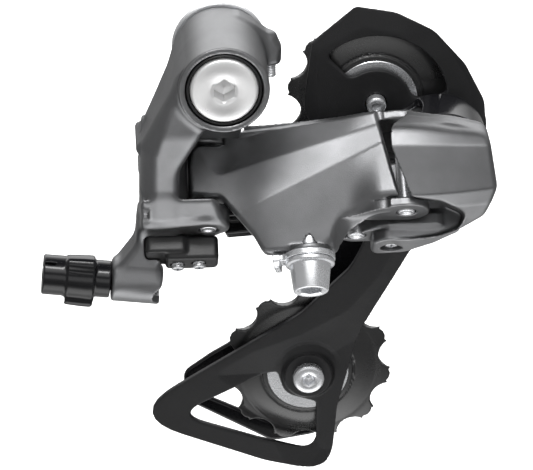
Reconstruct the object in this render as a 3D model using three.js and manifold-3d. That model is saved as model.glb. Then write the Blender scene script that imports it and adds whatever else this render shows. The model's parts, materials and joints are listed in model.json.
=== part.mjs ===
// Rear bicycle derailleur: hanger bolt, spring-loaded bracket body, slanted four-pin
// parallelogram, knuckle with a sprung chain cage, and two eleven-tooth pulleys.
// Millimetres. +X is forward on the bicycle, +Y points to the wheel, +Z is up.
// The origin lies on the hanger bolt's axis, on the outer face of the frame's hanger.

import * as THREE from 'three';
import { mergeVertices } from 'three/addons/utils/BufferGeometryUtils.js';
import Module from 'manifold-3d';

const wasm = await Module();
wasm.setup();

// ---- Driving dimensions ------------------------------------------------------------

const GAP = 0.3;                       // clearance between neighbouring pieces

// Parallelogram. Its pins lean by SLANT, so its parts are drawn in a tilted frame whose
// axes are x, m (across the links) and p (along the pins).
const SLANT = Math.PI / 4;
const LINK_LENGTH = 48.5;
const LINK_ANGLE = -11 * Math.PI / 180;
const OUTER_PIN = { x: -3.7, m: 16 };  // bracket end of the outer link
const PIN_STEP = { x: -11.3, m: 14 };  // from an outer pin to the inner pin beside it
const PIN_R = 2.1;
const PIN_HOLE_R = PIN_R + GAP;

// Hanger bolt and the bracket's barrel
const BARREL_R = 10.84;
const BARREL_FRONT = -28;
const BARREL_BACK = -2.3;
const BOLT_HEAD_R = 8.1;
const BOLT_FRONT = -28.5;
const BOLT_SHANK_R = 5.2;
const HANGER_THREAD_R = 4.9;
const HANGER_THREAD_END = 9;
const SPRING_BORE_R = 9.2;
const HEX_5 = 5 / Math.sqrt(3);        // corner radius of a 5 mm hexagon socket

// Knuckle and cage
const CAGE_PIVOT = { x: 53.5, z: -25.6 };
const KNUCKLE_R = 11.3;
const KNUCKLE_FRONT = -29.4;
const SLEEVE_FRONT = -13.8;
const SLEEVE_R = 11.9;
const CAGE_AXLE_R = 4.2;
const STOP_PIN = { x: 51.6, z: -39.1, r: 1.2 };
const CHAIN_Y = 9;                     // middle plane of both pulleys
const OUTER_PLATE = { front: 3.3, back: 5.1 };
const INNER_PLATE = { front: 12.9, back: 14.7 };

// Pulleys: eleven teeth for a half-inch chain
const PITCH = 12.7;
const TEETH = 11;
const PITCH_R = PITCH / 2 / Math.sin(Math.PI / TEETH);
const ROLLER_R = 4.1;
const TOOTH_TIP_R = 21.6;
const TOOTH_THICKNESS = 2.4;
const TIP_HALF = 0.082;                // half the angle of a tooth's flat tip, in radians
const VALLEY_HALF = 1.25;              // half the angle of a roller's valley, in radians
const GUIDE = { name: 'guide', x: 38.6, z: -17.9, phase: 3.021, boss: 7.6 };
const TENSION = { name: 'tension', x: 22.3, z: -93.3, phase: 2.128, boss: 6.5 };
const PULLEY_BOLT_R = 2.4;

// Cable adjuster, held in the boss at the bracket's lower rear corner
const ADJUSTER_TILT = 6.6 * Math.PI / 180;
const ADJUSTER_BOSS = { x: -21.3, y: -13, z: -57.1, r: 5.2, half: 6 };

// ---- Materials ---------------------------------------------------------------------

function metal(color, roughness, metalness) {
  return new THREE.MeshStandardMaterial({ color, roughness, metalness });
}

const MATERIALS = {
  paint: metal(0x55575b, 0.45, 0.6),
  steel: metal(0xc9cbcd, 0.25, 1),
  springSteel: metal(0x77797c, 0.35, 1),
  plate: metal(0x1b1c1e, 0.5, 0.4),
  gloss: metal(0x0c0c0e, 0.2, 0.3),
  resin: metal(0x131313, 0.6, 0),
  brass: metal(0xa8894f, 0.4, 1),
};

// ---- Solid helpers -----------------------------------------------------------------

function solid(geometry) {
  const bare = geometry.clone();
  bare.deleteAttribute('normal');
  bare.deleteAttribute('uv');
  const merged = mergeVertices(bare, 1e-4);
  return new wasm.Manifold(new wasm.Mesh({
    numProp: 3,
    vertProperties: new Float32Array(merged.attributes.position.array),
    triVerts: new Uint32Array(merged.index.array),
  }));
}

function geometry(body) {
  const mesh = body.getMesh();
  const result = new THREE.BufferGeometry();
  result.setAttribute('position', new THREE.BufferAttribute(mesh.vertProperties, 3));
  result.setIndex(new THREE.BufferAttribute(mesh.triVerts, 1));
  return result;
}

function join(...bodies) {
  return bodies.reduce((sum, body) => sum.add(body));
}

function cut(body, ...tools) {
  return tools.reduce((rest, tool) => rest.subtract(tool), body);
}

// A closed outline whose corners are [x, y] or, when rounded, [x, y, radius].
function outline(corners) {
  const shape = new THREE.Shape();
  const count = corners.length;
  const at = (i) => new THREE.Vector2(...corners[(i + count) % count].slice(0, 2));
  corners.forEach(([x, y, wanted], i) => {
    if (!wanted) {
      if (i === 0) shape.moveTo(x, y);
      else shape.lineTo(x, y);
      return;
    }
    const corner = new THREE.Vector2(x, y);
    const before = at(i - 1).sub(corner);
    const after = at(i + 1).sub(corner);
    const room = 0.48 * Math.min(before.length(), after.length());
    before.normalize();
    after.normalize();
    const half = Math.acos(THREE.MathUtils.clamp(before.dot(after), -1, 1)) / 2;
    const reach = Math.min(wanted / Math.tan(half), room);
    const radius = reach * Math.tan(half);
    const start = before.clone().multiplyScalar(reach).add(corner);
    const end = after.clone().multiplyScalar(reach).add(corner);
    const towards = before.clone().add(after).normalize();
    const centre = towards.multiplyScalar(radius / Math.sin(half)).add(corner);
    const from = Math.atan2(start.y - centre.y, start.x - centre.x);
    const to = Math.atan2(end.y - centre.y, end.x - centre.x);
    const clockwise = before.cross(after) > 0;
    if (i === 0) shape.moveTo(start.x, start.y);
    else shape.lineTo(start.x, start.y);
    shape.absarc(centre.x, centre.y, radius, from, to, clockwise);
  });
  return shape;
}

function extrude(shape, depth, curveSegments = 3) {
  return new THREE.ExtrudeGeometry(shape, { depth, bevelEnabled: false, curveSegments });
}

// A plate drawn in x and z, between two values of y.
function plateY(shape, front, back, curveSegments) {
  const body = extrude(shape, back - front, curveSegments);
  body.rotateX(Math.PI / 2);
  body.translate(0, back, 0);
  return solid(body);
}

// A block drawn in y and z, between two values of x.
function plateX(shape, left, right) {
  const body = extrude(shape, right - left);
  body.rotateX(Math.PI / 2);
  body.rotateZ(Math.PI / 2);
  body.translate(left, 0, 0);
  return solid(body);
}

// A slab drawn in x and m of the tilted frame, between two values of p.
function slab(shape, low, high, curveSegments) {
  const body = extrude(shape, high - low, curveSegments);
  body.translate(0, 0, low);
  return solid(body);
}

// A body of revolution about y from [radius, y] points, which close on the axis or on
// their own first point.
function turnedY(profile, segments = 20) {
  const points = profile.map(([r, y]) => new THREE.Vector2(r, y));
  return solid(new THREE.LatheGeometry(points, segments));
}

function rod(r, front, back, segments) {
  return turnedY([[0, front], [r, front], [r, back], [0, back]], segments);
}

function tube(inner, outer, front, back, segments) {
  const profile = [[inner, front], [outer, front], [outer, back], [inner, back], [inner, front]];
  return turnedY(profile, segments);
}

// The same bodies about p in the tilted frame.
function upright(body) {
  return body.rotate([90, 0, 0]);
}

function rodP(r, low, high, segments = 14) {
  return upright(rod(r, low, high, segments));
}

function hexSocket(corner, front, depth) {
  return solid(new THREE.CylinderGeometry(corner, corner, depth, 6).translate(0, front + depth / 2, 0));
}

// A round wire that winds about y.
function coil(radius, wire, front, back, turns) {
  class Helix extends THREE.Curve {
    getPoint(t, target = new THREE.Vector3()) {
      const angle = t * turns * 2 * Math.PI;
      const y = front + wire + (back - front - 2 * wire) * t;
      return target.set(radius * Math.cos(angle), y, radius * Math.sin(angle));
    }
  }
  const section = new THREE.Shape();
  section.absarc(0, 0, wire, 0, 2 * Math.PI, false);
  return new THREE.ExtrudeGeometry(section, {
    extrudePath: new Helix(),
    steps: Math.round(turns * 8),
    curveSegments: 3,
    bevelEnabled: false,
  });
}

// The outline of a bar with a round end about each of two points.
function capsule(a, b, r) {
  const heading = Math.atan2(b[1] - a[1], b[0] - a[0]);
  const shape = new THREE.Shape();
  shape.absarc(a[0], a[1], r, heading + Math.PI / 2, heading + Math.PI * 1.5, false);
  shape.absarc(b[0], b[1], r, heading - Math.PI / 2, heading + Math.PI / 2, false);
  return shape;
}

function circle(x, y, r) {
  const shape = new THREE.Shape();
  shape.absarc(x, y, r, 0, 2 * Math.PI, false);
  return shape;
}

// ---- Scene graph -------------------------------------------------------------------

const derailleur = new THREE.Group();

const tilted = new THREE.Group();
tilted.rotation.x = -SLANT;
derailleur.add(tilted);

const outerLinkFrame = new THREE.Group();
outerLinkFrame.position.set(OUTER_PIN.x, OUTER_PIN.m, 0);
outerLinkFrame.rotation.z = LINK_ANGLE;
tilted.add(outerLinkFrame);

const innerLinkFrame = new THREE.Group();
innerLinkFrame.position.set(OUTER_PIN.x + PIN_STEP.x, OUTER_PIN.m + PIN_STEP.m, 0);
innerLinkFrame.rotation.z = LINK_ANGLE;
tilted.add(innerLinkFrame);

const cageFrame = new THREE.Group();
cageFrame.position.set(CAGE_PIVOT.x, 0, CAGE_PIVOT.z);
derailleur.add(cageFrame);

function add(parent, name, body, material) {
  const shape = body.isBufferGeometry ? body : geometry(body);
  const mesh = new THREE.Mesh(shape, MATERIALS[material]);
  mesh.name = name;
  parent.add(mesh);
  return mesh;
}

// The four pins of the parallelogram in the tilted frame.
const P1 = [OUTER_PIN.x, OUTER_PIN.m];
const P2 = [P1[0] + PIN_STEP.x, P1[1] + PIN_STEP.m];
const P3 = [P1[0] + LINK_LENGTH * Math.cos(LINK_ANGLE), P1[1] + LINK_LENGTH * Math.sin(LINK_ANGLE)];
const P4 = [P3[0] + PIN_STEP.x, P3[1] + PIN_STEP.m];

// Levels along the pins
const BRACKET_EAR = { low: -41.9, high: -36.2 };
const BRACKET_TOP_EAR = { low: -21.4, high: -16.9 };
const LINK_BOSS = { low: -34.7, high: -21.8 };
const LINK_LOW_EAR = { low: -41.9, high: -39.7 };
const LINK_HIGH_EAR = { low: -19.2, high: -16.9 };
const KNUCKLE_LUG = { low: -39.3, high: -19.6 };
const INNER_LINK = { low: -35.9, high: -25.9 };
const FORK_LOW = { low: -42.8, high: -39.6 };
const FORK_HIGH = { low: -25.6, high: -23.5 };
const LUG_R = 4.8;
const FORK_R = 4.4;

// Turns a body of the tilted frame into the upright one.
function fromTilted(body) {
  return body.rotate([-THREE.MathUtils.radToDeg(SLANT), 0, 0]);
}

// ---- Hanger bolt group -------------------------------------------------------------

function mountingBolt() {
  const profile = [
    [0, BOLT_FRONT], [BOLT_HEAD_R - 0.6, BOLT_FRONT], [BOLT_HEAD_R, BOLT_FRONT + 0.6],
    [BOLT_HEAD_R, -25.8], [BOLT_SHANK_R, -25.8], [BOLT_SHANK_R, -1.1], [4.5, -1.1],
    [4.5, -0.2], [HANGER_THREAD_R, 0], [HANGER_THREAD_R, HANGER_THREAD_END - 0.8],
    [HANGER_THREAD_R - 0.8, HANGER_THREAD_END], [0, HANGER_THREAD_END],
  ];
  return cut(turnedY(profile, 28), hexSocket(HEX_5, BOLT_FRONT - 1, 6));
}

function stopperPlate() {
  const shape = circle(0, 0, 11.6);
  const ring = plateY(shape, -2, 0, 14);
  const lug = plateY(outline([[2.5, -14.2], [7.5, -14.2], [7.5, -8], [2.5, -8]]), -2, 0);
  const recess = rod(8, -1.3, 1);
  return cut(join(ring, lug), rod(BOLT_SHANK_R + GAP, -3, 1), recess);
}

// A spring clip that holds the plate on the bolt's groove.
function snapRing() {
  const ring = tube(4.8, 7.4, -1.0, -0.25);
  const opening = plateY(outline([[-1.4, -9], [1.4, -9], [1.4, 0], [-1.4, 0]]), -2, 1);
  return cut(ring, opening);
}

add(derailleur, 'mounting_bolt', mountingBolt(), 'steel');
add(derailleur, 'stopper_plate', stopperPlate(), 'steel');
add(derailleur, 'snap_ring', snapRing(), 'springSteel');

// ---- Bracket body ------------------------------------------------------------------

const LIMIT_SCREWS = [
  { name: 'high_limit_screw', x: -6, m: 22.6 },
  { name: 'low_limit_screw', x: -11.2, m: 23.4 },
];
const SCREW_R = 1.5;
const SCREW_HOLDER = { low: -50, webLow: -46.6, high: -42 };
const TENSION_SCREW = { x: 12, y: -4.9, low: -6.3, high: 3 };

function adjusterPlaced(body) {
  const turned = body.rotate([0, 0, 90]).rotate([0, THREE.MathUtils.radToDeg(ADJUSTER_TILT), 0]);
  return turned.translate([ADJUSTER_BOSS.x, ADJUSTER_BOSS.y, ADJUSTER_BOSS.z]);
}

function armSide() {
  return outline([
    [-26.6, 4], [-26.2, -13, 3], [-21.6, -37.6, 1], [-12.7, -46.5], [-8.8, -42.6], [-3.4, -21], [-3.4, 4],
  ]);
}

// The arm is the common part of its front outline and its side outline.
function bracketArm() {
  const front = outline([
    [0, 6], [-9.2, 5.6], [-19.9, -17.2, 4], [-20.4, -41, 3], [-17, -47.5],
    [-10.6, -47.5], [-10.6, -23, 8], [-3, -9],
  ]);
  return plateY(front, -30, 0).intersect(plateX(armSide(), -30, 5));
}

function bracketEars() {
  const low = join(
    slab(capsule(P1, P2, 5), BRACKET_EAR.low, BRACKET_EAR.high),
    slab(outline([[-20.3, 13], [-3.7, 11], [-3.7, 18], [-15, 35], [-20.3, 35, 1]]),
      BRACKET_EAR.low, BRACKET_EAR.high),
  );
  const high = join(
    slab(capsule(P1, P2, 5), BRACKET_TOP_EAR.low, BRACKET_TOP_EAR.high),
    slab(outline([[-20.3, 2], [-10.6, 2], [-3.7, 11], [-3.7, 18], [-15, 35], [-20.3, 35, 1]]),
      BRACKET_TOP_EAR.low, BRACKET_TOP_EAR.high),
  );
  const wall = slab(outline([[-20.3, 6], [-18.95, 6], [-18.95, 34.4], [-20.3, 34.4]]),
    BRACKET_EAR.low, BRACKET_TOP_EAR.high);
  const shoulder = slab(outline([[-11, 0], [5, 0.5, 2], [4.6, 8.4, 1], [-11, 8.4]]),
    BRACKET_TOP_EAR.low, -13);
  return join(low, high, wall, shoulder);
}

// The foot's front follows the arm's slanted front face.
function bracketFoot() {
  const wedge = slab(outline([[-20, 2], [-4.5, 2, 2], [-1.6, 7, 3], [0.4, 13, 4], [1.3, 18, 3], [-20, 18]]),
    BRACKET_EAR.low, -37.2);
  return fromTilted(wedge).intersect(plateX(armSide(), -30, 5));
}

// The black holder of the two limit screws, under the foot, larger all round by the margin.
function screwHolderShape(margin) {
  const block = (left, right, near, far, low) => slab(outline([
    [left - margin, near - margin, 1.5], [right + margin, near - margin, 1.5],
    [right + margin, far + margin, 1.5], [left - margin, far + margin, 1.5],
  ]), low - margin, SCREW_HOLDER.high + margin);
  return join(
    block(-14.2, -1.2, 19, 27, SCREW_HOLDER.low),
    block(-19, -9, 18, 28, SCREW_HOLDER.webLow),
  );
}

function screwHolder() {
  const holes = LIMIT_SCREWS.map(({ x, m }) => rodP(SCREW_R + GAP, -52, -35, 12).translate([x, m, 0]));
  return cut(screwHolderShape(0), ...holes);
}

function adjusterBoss() {
  const { half, r } = ADJUSTER_BOSS;
  const web = plateY(outline([
    [-20.4, -38], [-21.4, -45.6, 6], [-26.6, -52.6], [-26.6, -57.5], [-15.5, -56.2],
    [-15.5, -51, 4], [-11, -43], [-11, -38],
  ]), -17, -7.6);
  return join(web, adjusterPlaced(rod(r, -half, half, 24)));
}

function tensionScrewTab() {
  const tab = outline([
    [4, 9.8], [8.4, 7.6], [12.8, 4.6, 1.2], [14.6, 1.8, 1], [14.2, -2.2, 0.6], [9.6, -3], [4, -3],
  ]);
  return plateY(tab, -8, BARREL_BACK);
}

function bracketBody() {
  const body = join(
    rod(BARREL_R, BARREL_FRONT, BARREL_BACK, 36),
    bracketArm(),
    bracketFoot(),
    fromTilted(bracketEars()),
    adjusterBoss(),
    tensionScrewTab(),
  );
  const clearTheBosses = fromTilted(join(
    slab(circle(...P1, 5.1), BRACKET_EAR.high, BRACKET_TOP_EAR.low, 10),
    slab(circle(...P2, 3.95), BRACKET_EAR.high, BRACKET_TOP_EAR.low, 10),
  ));
  const pinHoles = [P1, P2].map((pin) => fromTilted(
    rodP(PIN_HOLE_R, BRACKET_EAR.low - 1, BRACKET_TOP_EAR.high + 9).translate([...pin, 0])));
  const screwHoles = LIMIT_SCREWS.map(({ x, m }) => fromTilted(
    rodP(SCREW_R + GAP, -52, -35, 12).translate([x, m, 0])));
  const { x, y, high } = TENSION_SCREW;
  const tensionHole = rodP(SCREW_R + GAP, -12, high + GAP, 12).translate([x, y, 0]);
  return cut(
    body,
    rod(BOLT_HEAD_R + 1.2, BARREL_FRONT - 1, -25.2, 28),
    rod(BOLT_SHANK_R + 1.5, -26, -1),
    rod(SPRING_BORE_R, -19.5, BARREL_BACK + 1),
    clearTheBosses,
    ...pinHoles,
    ...screwHoles,
    tensionHole,
    adjusterPlaced(rod(2.6 + GAP, -9, 9, 18)),
    fromTilted(screwHolderShape(GAP)),
  );
}

add(derailleur, 'bracket_body', bracketBody(), 'paint');
add(tilted, 'limit_screw_holder', screwHolder(), 'resin');
add(derailleur, 'bracket_seal_ring', tube(BOLT_HEAD_R + GAP, BOLT_HEAD_R + 0.9, -27.8, -25.6, 28), 'resin');
add(derailleur, 'bracket_front_bush', tube(BOLT_SHANK_R + GAP, BOLT_SHANK_R + 1.2, -25, -19.8), 'resin');
add(derailleur, 'bracket_rear_bush', tube(BOLT_SHANK_R + GAP, BOLT_SHANK_R + 1.2, -6.6, -2.4), 'resin');
add(derailleur, 'bracket_spring', coil(7.9, 0.8, -19, -3.4, 7), 'springSteel');

// Each pin has a shallow dimple in its lower end.
function linkPin(low, high) {
  const profile = [[0, low + 0.4], [1.3, low + 0.4], [1.5, low], [PIN_R, low], [PIN_R, high], [0, high]];
  return upright(turnedY(profile, 16));
}

function addPin(name, [x, m], low, high) {
  add(tilted, name, linkPin(low, high), 'steel').position.set(x, m, 0);
}

addPin('outer_link_bracket_pin', P1, BRACKET_EAR.low - 0.1, BRACKET_TOP_EAR.high);
addPin('inner_link_bracket_pin', P2, BRACKET_EAR.low - 0.1, BRACKET_TOP_EAR.high);

// A set screw with a cross recess in its lower end.
function setScrew(low, high) {
  const recess = [0, 90].map((turn) => solid(
    new THREE.BoxGeometry(2, 0.5, 1.6).translate(0, 0, low)).rotate([0, 0, turn]));
  return cut(rodP(SCREW_R, low, high, 12), ...recess);
}

LIMIT_SCREWS.forEach(({ name, x, m }) => {
  add(tilted, name, setScrew(-51, -35.6), 'steel').position.set(x, m, 0);
});

const tensionScrew = setScrew(TENSION_SCREW.low, TENSION_SCREW.high);
add(derailleur, 'b_tension_screw', tensionScrew, 'steel').position.set(TENSION_SCREW.x, TENSION_SCREW.y, 0);

// The cable adjuster: a screw through the boss, with a winged knob outside it.
function adjusterKnob() {
  const wings = [0, 1, 2].map((i) => solid(
    new THREE.CylinderGeometry(1.6, 1.6, 7.2, 10).translate(5.6, 14, 0)).rotate([0, i * 120, 0]));
  const profile = [
    [0, -4.6], [2.6, -4.6], [2.6, 6.4], [4.6, 6.4], [4.6, 10.4], [5.8, 10.8], [5.8, 17.2], [4.95, 17.8],
    [4.95, 23.1], [0, 23.1],
  ];
  return cut(join(turnedY(profile), ...wings), rod(1.2, -6, 15, 12), rod(2.7, 14, 25, 18));
}

add(derailleur, 'cable_adjuster', adjusterPlaced(adjusterKnob()), 'gloss');

// ---- Outer link, drawn along u from its bracket pin, v across and p along the pin ---

const ANCHOR = { u: 24.4, v: 1.0, r: 2.5, top: -50.2 };
const LINK_FACE = -5.5;                // v of the link's outer face
const LINK_BELLY = -49.2;              // lowest p of the link, above the cable anchor
const NEAR = [0, 0];
const FAR = [LINK_LENGTH, 0];

// The link's broad outer wall, seen square on.
function linkWall() {
  const shape = outline([
    [-3.6, -33.7], [3.8, -35.1, 3], [11.2, -44.8], [13.4, LINK_BELLY, 2.5], [31, LINK_BELLY, 2],
    [35.6, -44, 5], [44.6, -39.9, 2], [47.6, -39.9], [42.6, LINK_HIGH_EAR.high], [7.4, -18.6, 1.5],
    [7.0, LINK_BOSS.high], [-2.4, LINK_BOSS.high, 3], [-3.6, -27, 3],
  ]);
  return plateY(shape, LINK_FACE, LINK_FACE + 4.2);
}

function outerLink() {
  const lowEar = slab(
    outline([[26, LINK_FACE], [FAR[0], -5.6], [FAR[0], 5.6], [42, 4.2, 3], [30, 1], [26, 0]]),
    LINK_LOW_EAR.low, LINK_LOW_EAR.high);
  const highEar = slab(
    outline([[10, -5], [FAR[0], -4.6], [FAR[0], 4.6], [40, 4.6, 4], [28, 0], [10, 0]]),
    LINK_HIGH_EAR.low, LINK_HIGH_EAR.high);
  const earEnds = join(
    slab(circle(...FAR, 5.6), LINK_LOW_EAR.low, LINK_LOW_EAR.high, 12),
    slab(circle(...FAR, 4.6), LINK_HIGH_EAR.low, LINK_HIGH_EAR.high, 12),
  );
  const bossArm = slab(outline([[0, LINK_FACE], [8, LINK_FACE], [8, -1], [0, 4.5]]),
    LINK_BOSS.low, LINK_BOSS.high);
  const boss = slab(circle(...NEAR, 4.5), LINK_BOSS.low, LINK_BOSS.high, 12);
  const belly = slab(
    outline([[14, LINK_FACE], [31, LINK_FACE], [30.2, 6.6, 2], [18, 6.6, 4], [14.4, -1]]),
    LINK_BELLY, LINK_BELLY + 3.2);
  const anchorPad = rodP(5.2, ANCHOR.top + GAP, -47, 20).translate([ANCHOR.u, ANCHOR.v, 0]);
  const body = join(linkWall(), lowEar, highEar, earEnds, bossArm, boss, belly, anchorPad);
  return cut(
    body,
    rodP(PIN_HOLE_R, -60, 0).translate([...NEAR, 0]),
    rodP(PIN_HOLE_R, -60, 0).translate([...FAR, 0]),
    slab(circle(...FAR, LUG_R + 0.5), LINK_LOW_EAR.high, LINK_HIGH_EAR.low, 12),
    rodP(ANCHOR.r + GAP, -52, -42).translate([ANCHOR.u, ANCHOR.v, 0]),
  );
}

// The washer that clamps the cable, with a bent tab on its rear side.
function anchorWasher() {
  const { top } = ANCHOR;
  const plate = rodP(6.2, top - 1.5, top, 20);
  const tab = slab(outline([[-8.6, -2.2], [-4, -2.6], [-4, 2.6], [-8.6, 2.2]]), top - 1.5, top);
  const bend = slab(outline([[-8.6, -2.2], [-7, -2.3], [-7, 2.3], [-8.6, 2.2]]), top - 3.2, top);
  const groove = slab(outline([[-9, 3.4], [9, 3.4], [9, 4.6], [-9, 4.6]]), top - 0.7, top + 1);
  return cut(join(plate, tab, bend), rodP(ANCHOR.r + GAP, -60, -40), groove);
}

function anchorBolt() {
  const { top, r } = ANCHOR;
  const profile = [
    [0, top - 9.6], [4.0, top - 9.6], [4.3, top - 9.2], [5.0, top - 3.1], [6.0, top - 2.8], [6.0, top - 1.8],
    [r, top - 1.8], [r, top + 7.8], [0, top + 7.8],
  ];
  return cut(upright(turnedY(profile)), upright(hexSocket(HEX_5, top - 10, 4.4)));
}

add(outerLinkFrame, 'outer_link', outerLink(), 'paint');
add(outerLinkFrame, 'cable_anchor_washer', anchorWasher(), 'steel').position.set(ANCHOR.u, ANCHOR.v, 0);
add(outerLinkFrame, 'cable_anchor_bolt', anchorBolt(), 'steel').position.set(ANCHOR.u, ANCHOR.v, 0);

// ---- Inner link and the return spring ----------------------------------------------

function innerLink() {
  const bar = slab(capsule(NEAR, FAR, 3.6), INNER_LINK.low, INNER_LINK.high, 10);
  const skirt = slab(outline([[16, 0], [42, 0], [42, 3.6], [16, 3.6]]), -39.2, INNER_LINK.low);
  const foot = rodP(3.6, -39.2, INNER_LINK.low, 20).translate([...FAR, 0]);
  const pocket = slab(outline([[7, -5], [41, -5], [41, 1.2, 1], [7, 1.2, 1]]),
    INNER_LINK.low + 1.6, INNER_LINK.high - 1.6);
  return cut(
    join(bar, skirt, foot),
    pocket,
    rodP(PIN_HOLE_R, -60, 0).translate([...NEAR, 0]),
    rodP(PIN_HOLE_R, -60, 0).translate([...FAR, 0]),
  );
}

add(innerLinkFrame, 'inner_link', innerLink(), 'gloss');

// An extension spring on the parallelogram's diagonal, which pulls the cage outboard.
function returnSpring() {
  const body = coil(2.3, 0.5, 7.5, 27.5, 12);
  const across = new THREE.Vector2(P4[0] - P1[0], P4[1] - P1[1]);
  body.rotateZ(-Math.PI / 2 + across.angle());
  return body;
}

add(tilted, 'return_spring', returnSpring(), 'springSteel').position.set(P1[0], P1[1], -30.5);

// ---- Knuckle -----------------------------------------------------------------------

const SET_SCREW = { x: 41, m: 20.4 };
const CAGE_SPRING_BORE_R = 7.9;

// Its side outline, common to the casting's nose and its skirt.
function knuckleSide() {
  return outline([
    [SLEEVE_FRONT, -8], [-15.5, -12.9], [-21, -13.1, 4], [-24.8, -16.6, 3], [KNUCKLE_FRONT, -27.6, 2],
    [-28.4, -32, 4], [-20.6, -43.8, 2], [-16, -47], [-8, -46], [SLEEVE_FRONT, -30],
  ]);
}

function knuckleNose() {
  const face = outline([
    [40.8, -11.5, 2], [47, -10.9, 6], [55, -12.6, 9], [63.6, -17.4, 7], [65.6, -32, 7], [59.4, -41.6, 6],
    [45, -46.8], [44.2, -46.8], [44.2, -28], [40.8, -15],
  ]);
  return plateY(face, -34, SLEEVE_FRONT).intersect(plateX(knuckleSide(), 30, 70));
}

function knuckleBarrel() {
  const front = rod(KNUCKLE_R, -24, SLEEVE_FRONT, 32);
  const spigot = rod(KNUCKLE_R - 1.1, SLEEVE_FRONT - 1, -0.9, 32);
  return onCageAxis(join(front, spigot));
}

function knuckleLugs() {
  const lug = join(
    slab(circle(...P3, LUG_R), KNUCKLE_LUG.low, KNUCKLE_LUG.high, 9),
    slab(outline([[P3[0], P3[1] - 3.4], [52, 0], [54, 12], [P3[0], P3[1] + LUG_R]]),
      KNUCKLE_LUG.low, KNUCKLE_LUG.high),
  );
  const forkRoot = [P4[0] + 1, P4[1] - FORK_R];
  const forkHigh = join(
    slab(circle(...P4, FORK_R), FORK_HIGH.low, FORK_HIGH.high, 10),
    slab(outline([forkRoot, [P3[0] - 1, P3[1] + 3], [54, 8], [50, 19, 3], [P4[0], P4[1] + FORK_R]]),
      FORK_HIGH.low, FORK_HIGH.high),
  );
  const forkLow = join(
    slab(circle(...P4, FORK_R), FORK_LOW.low, FORK_LOW.high, 10),
    slab(outline([forkRoot, [40, 13.6], [53, 13.6], [53, 24, 6], [P4[0], P4[1] + FORK_R]]),
      FORK_LOW.low, FORK_LOW.high),
  );
  const cheek = slab(outline([[38.6, 15.5], [52, 13.6], [52, 18.4, 2], [40.5, 24, 1]]),
    FORK_LOW.low, FORK_HIGH.high);
  const rim = slab(
    outline([
      [P4[0] + 3, 17], [41, 13], [43.6, 9], [55, 7, 3], [55, 15, 6], [44, 25.5, 4], [P4[0] + 1, 25, 3],
    ]),
    -46.2, LINK_LOW_EAR.low - 0.4);
  const stop = plateY(outline([
    [STOP_PIN.x - 4, -40.6], [STOP_PIN.x - 1.5, -40.6], [STOP_PIN.x - 1.5, -37.6], [STOP_PIN.x - 4, -37.6],
  ]), SLEEVE_FRONT - 1, -0.9);
  return join(fromTilted(join(lug, forkHigh, forkLow, cheek, rim)), stop);
}

// The space that the outer link's two ears and wall sweep as it swings about its pin.
function linkSweep(radius, low, high) {
  const [x, m] = P3;
  const fan = outline([
    [x + 3.2, m + 4.2], [x - 12, m + 8], [x - 22, m - 4], [x - 14, m - 16], [x + 4.4, m - 4.6],
  ]);
  return join(slab(circle(x, m, radius), low, high, 12), slab(fan, low, high));
}

function wallSweep() {
  const [x, m] = P3;
  return slab(outline([
    [x + 3.9, m - 4.2], [x - 10, m - 18], [x - 26, m - 6], [x - 20, m + 7], [x - 5.2, m + 4],
    [x - 4.2, m - 3.2],
  ]), -52, 0);
}

function onCageAxis(body) {
  return body.translate([CAGE_PIVOT.x, 0, CAGE_PIVOT.z]);
}

function knuckleBody() {
  return cut(
    join(knuckleNose(), knuckleBarrel(), knuckleLugs()),
    fromTilted(linkSweep(6.1, LINK_LOW_EAR.low - GAP, KNUCKLE_LUG.low)),
    fromTilted(linkSweep(5.1, KNUCKLE_LUG.high, -4)),
    fromTilted(wallSweep()),
    fromTilted(slab(circle(...P4, 4.2), FORK_LOW.high, FORK_HIGH.low, 10)),
    ...[P3, P4].map((pin) => fromTilted(rodP(PIN_HOLE_R, -43, -10).translate([...pin, 0]))),
    fromTilted(rodP(SCREW_R + GAP, -47, -38).translate([SET_SCREW.x, SET_SCREW.m, 0])),
    onCageAxis(rod(CAGE_AXLE_R + 1.3, -22.4, 0)),
    onCageAxis(rod(CAGE_SPRING_BORE_R, -12.6, 0)),
  );
}

// The glossy sleeve around the back half of the knuckle, notched for the link's ear.
function knuckleSleeve() {
  const [x, m] = P3;
  const ring = tube(KNUCKLE_R - 1.1 + GAP, SLEEVE_R, SLEEVE_FRONT + 0.2, -0.6, 32);
  const notch = join(
    slab(circle(x, m, 5.2), -60, -10, 12),
    slab(outline([[x + 3.4, m + 4], [x - 12, m + 5], [x - 12, m - 16], [x + 4, m - 4]]), -60, -10),
    slab(outline([[36, -14], [51, -14], [54.6, 28], [36, 28]]), -60, KNUCKLE_LUG.high + GAP),
  );
  return cut(onCageAxis(ring), fromTilted(notch));
}

add(derailleur, 'knuckle_body', knuckleBody(), 'paint');
add(derailleur, 'knuckle_sleeve', knuckleSleeve(), 'gloss');
addPin('outer_link_knuckle_pin', P3, LINK_LOW_EAR.low - 0.1, LINK_HIGH_EAR.high);
addPin('inner_link_knuckle_pin', P4, FORK_LOW.low - 0.1, FORK_HIGH.high);
add(tilted, 'knuckle_set_screw', setScrew(-45.6, -40), 'steel').position.set(SET_SCREW.x, SET_SCREW.m, 0);
add(cageFrame, 'cage_front_bush', tube(CAGE_AXLE_R + GAP, CAGE_AXLE_R + 1.0, -21.8, -13), 'resin');
add(cageFrame, 'cage_spring', coil(6.5, 0.7, -12.2, -1.4, 6), 'springSteel');

// ---- Chain cage --------------------------------------------------------------------

function boltHoles(front, back) {
  const hole = rod(PULLEY_BOLT_R + GAP, front - 1, back + 1, 16);
  return [GUIDE, TENSION].map(({ x, z }) => hole.translate([x, 0, z]));
}

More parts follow.
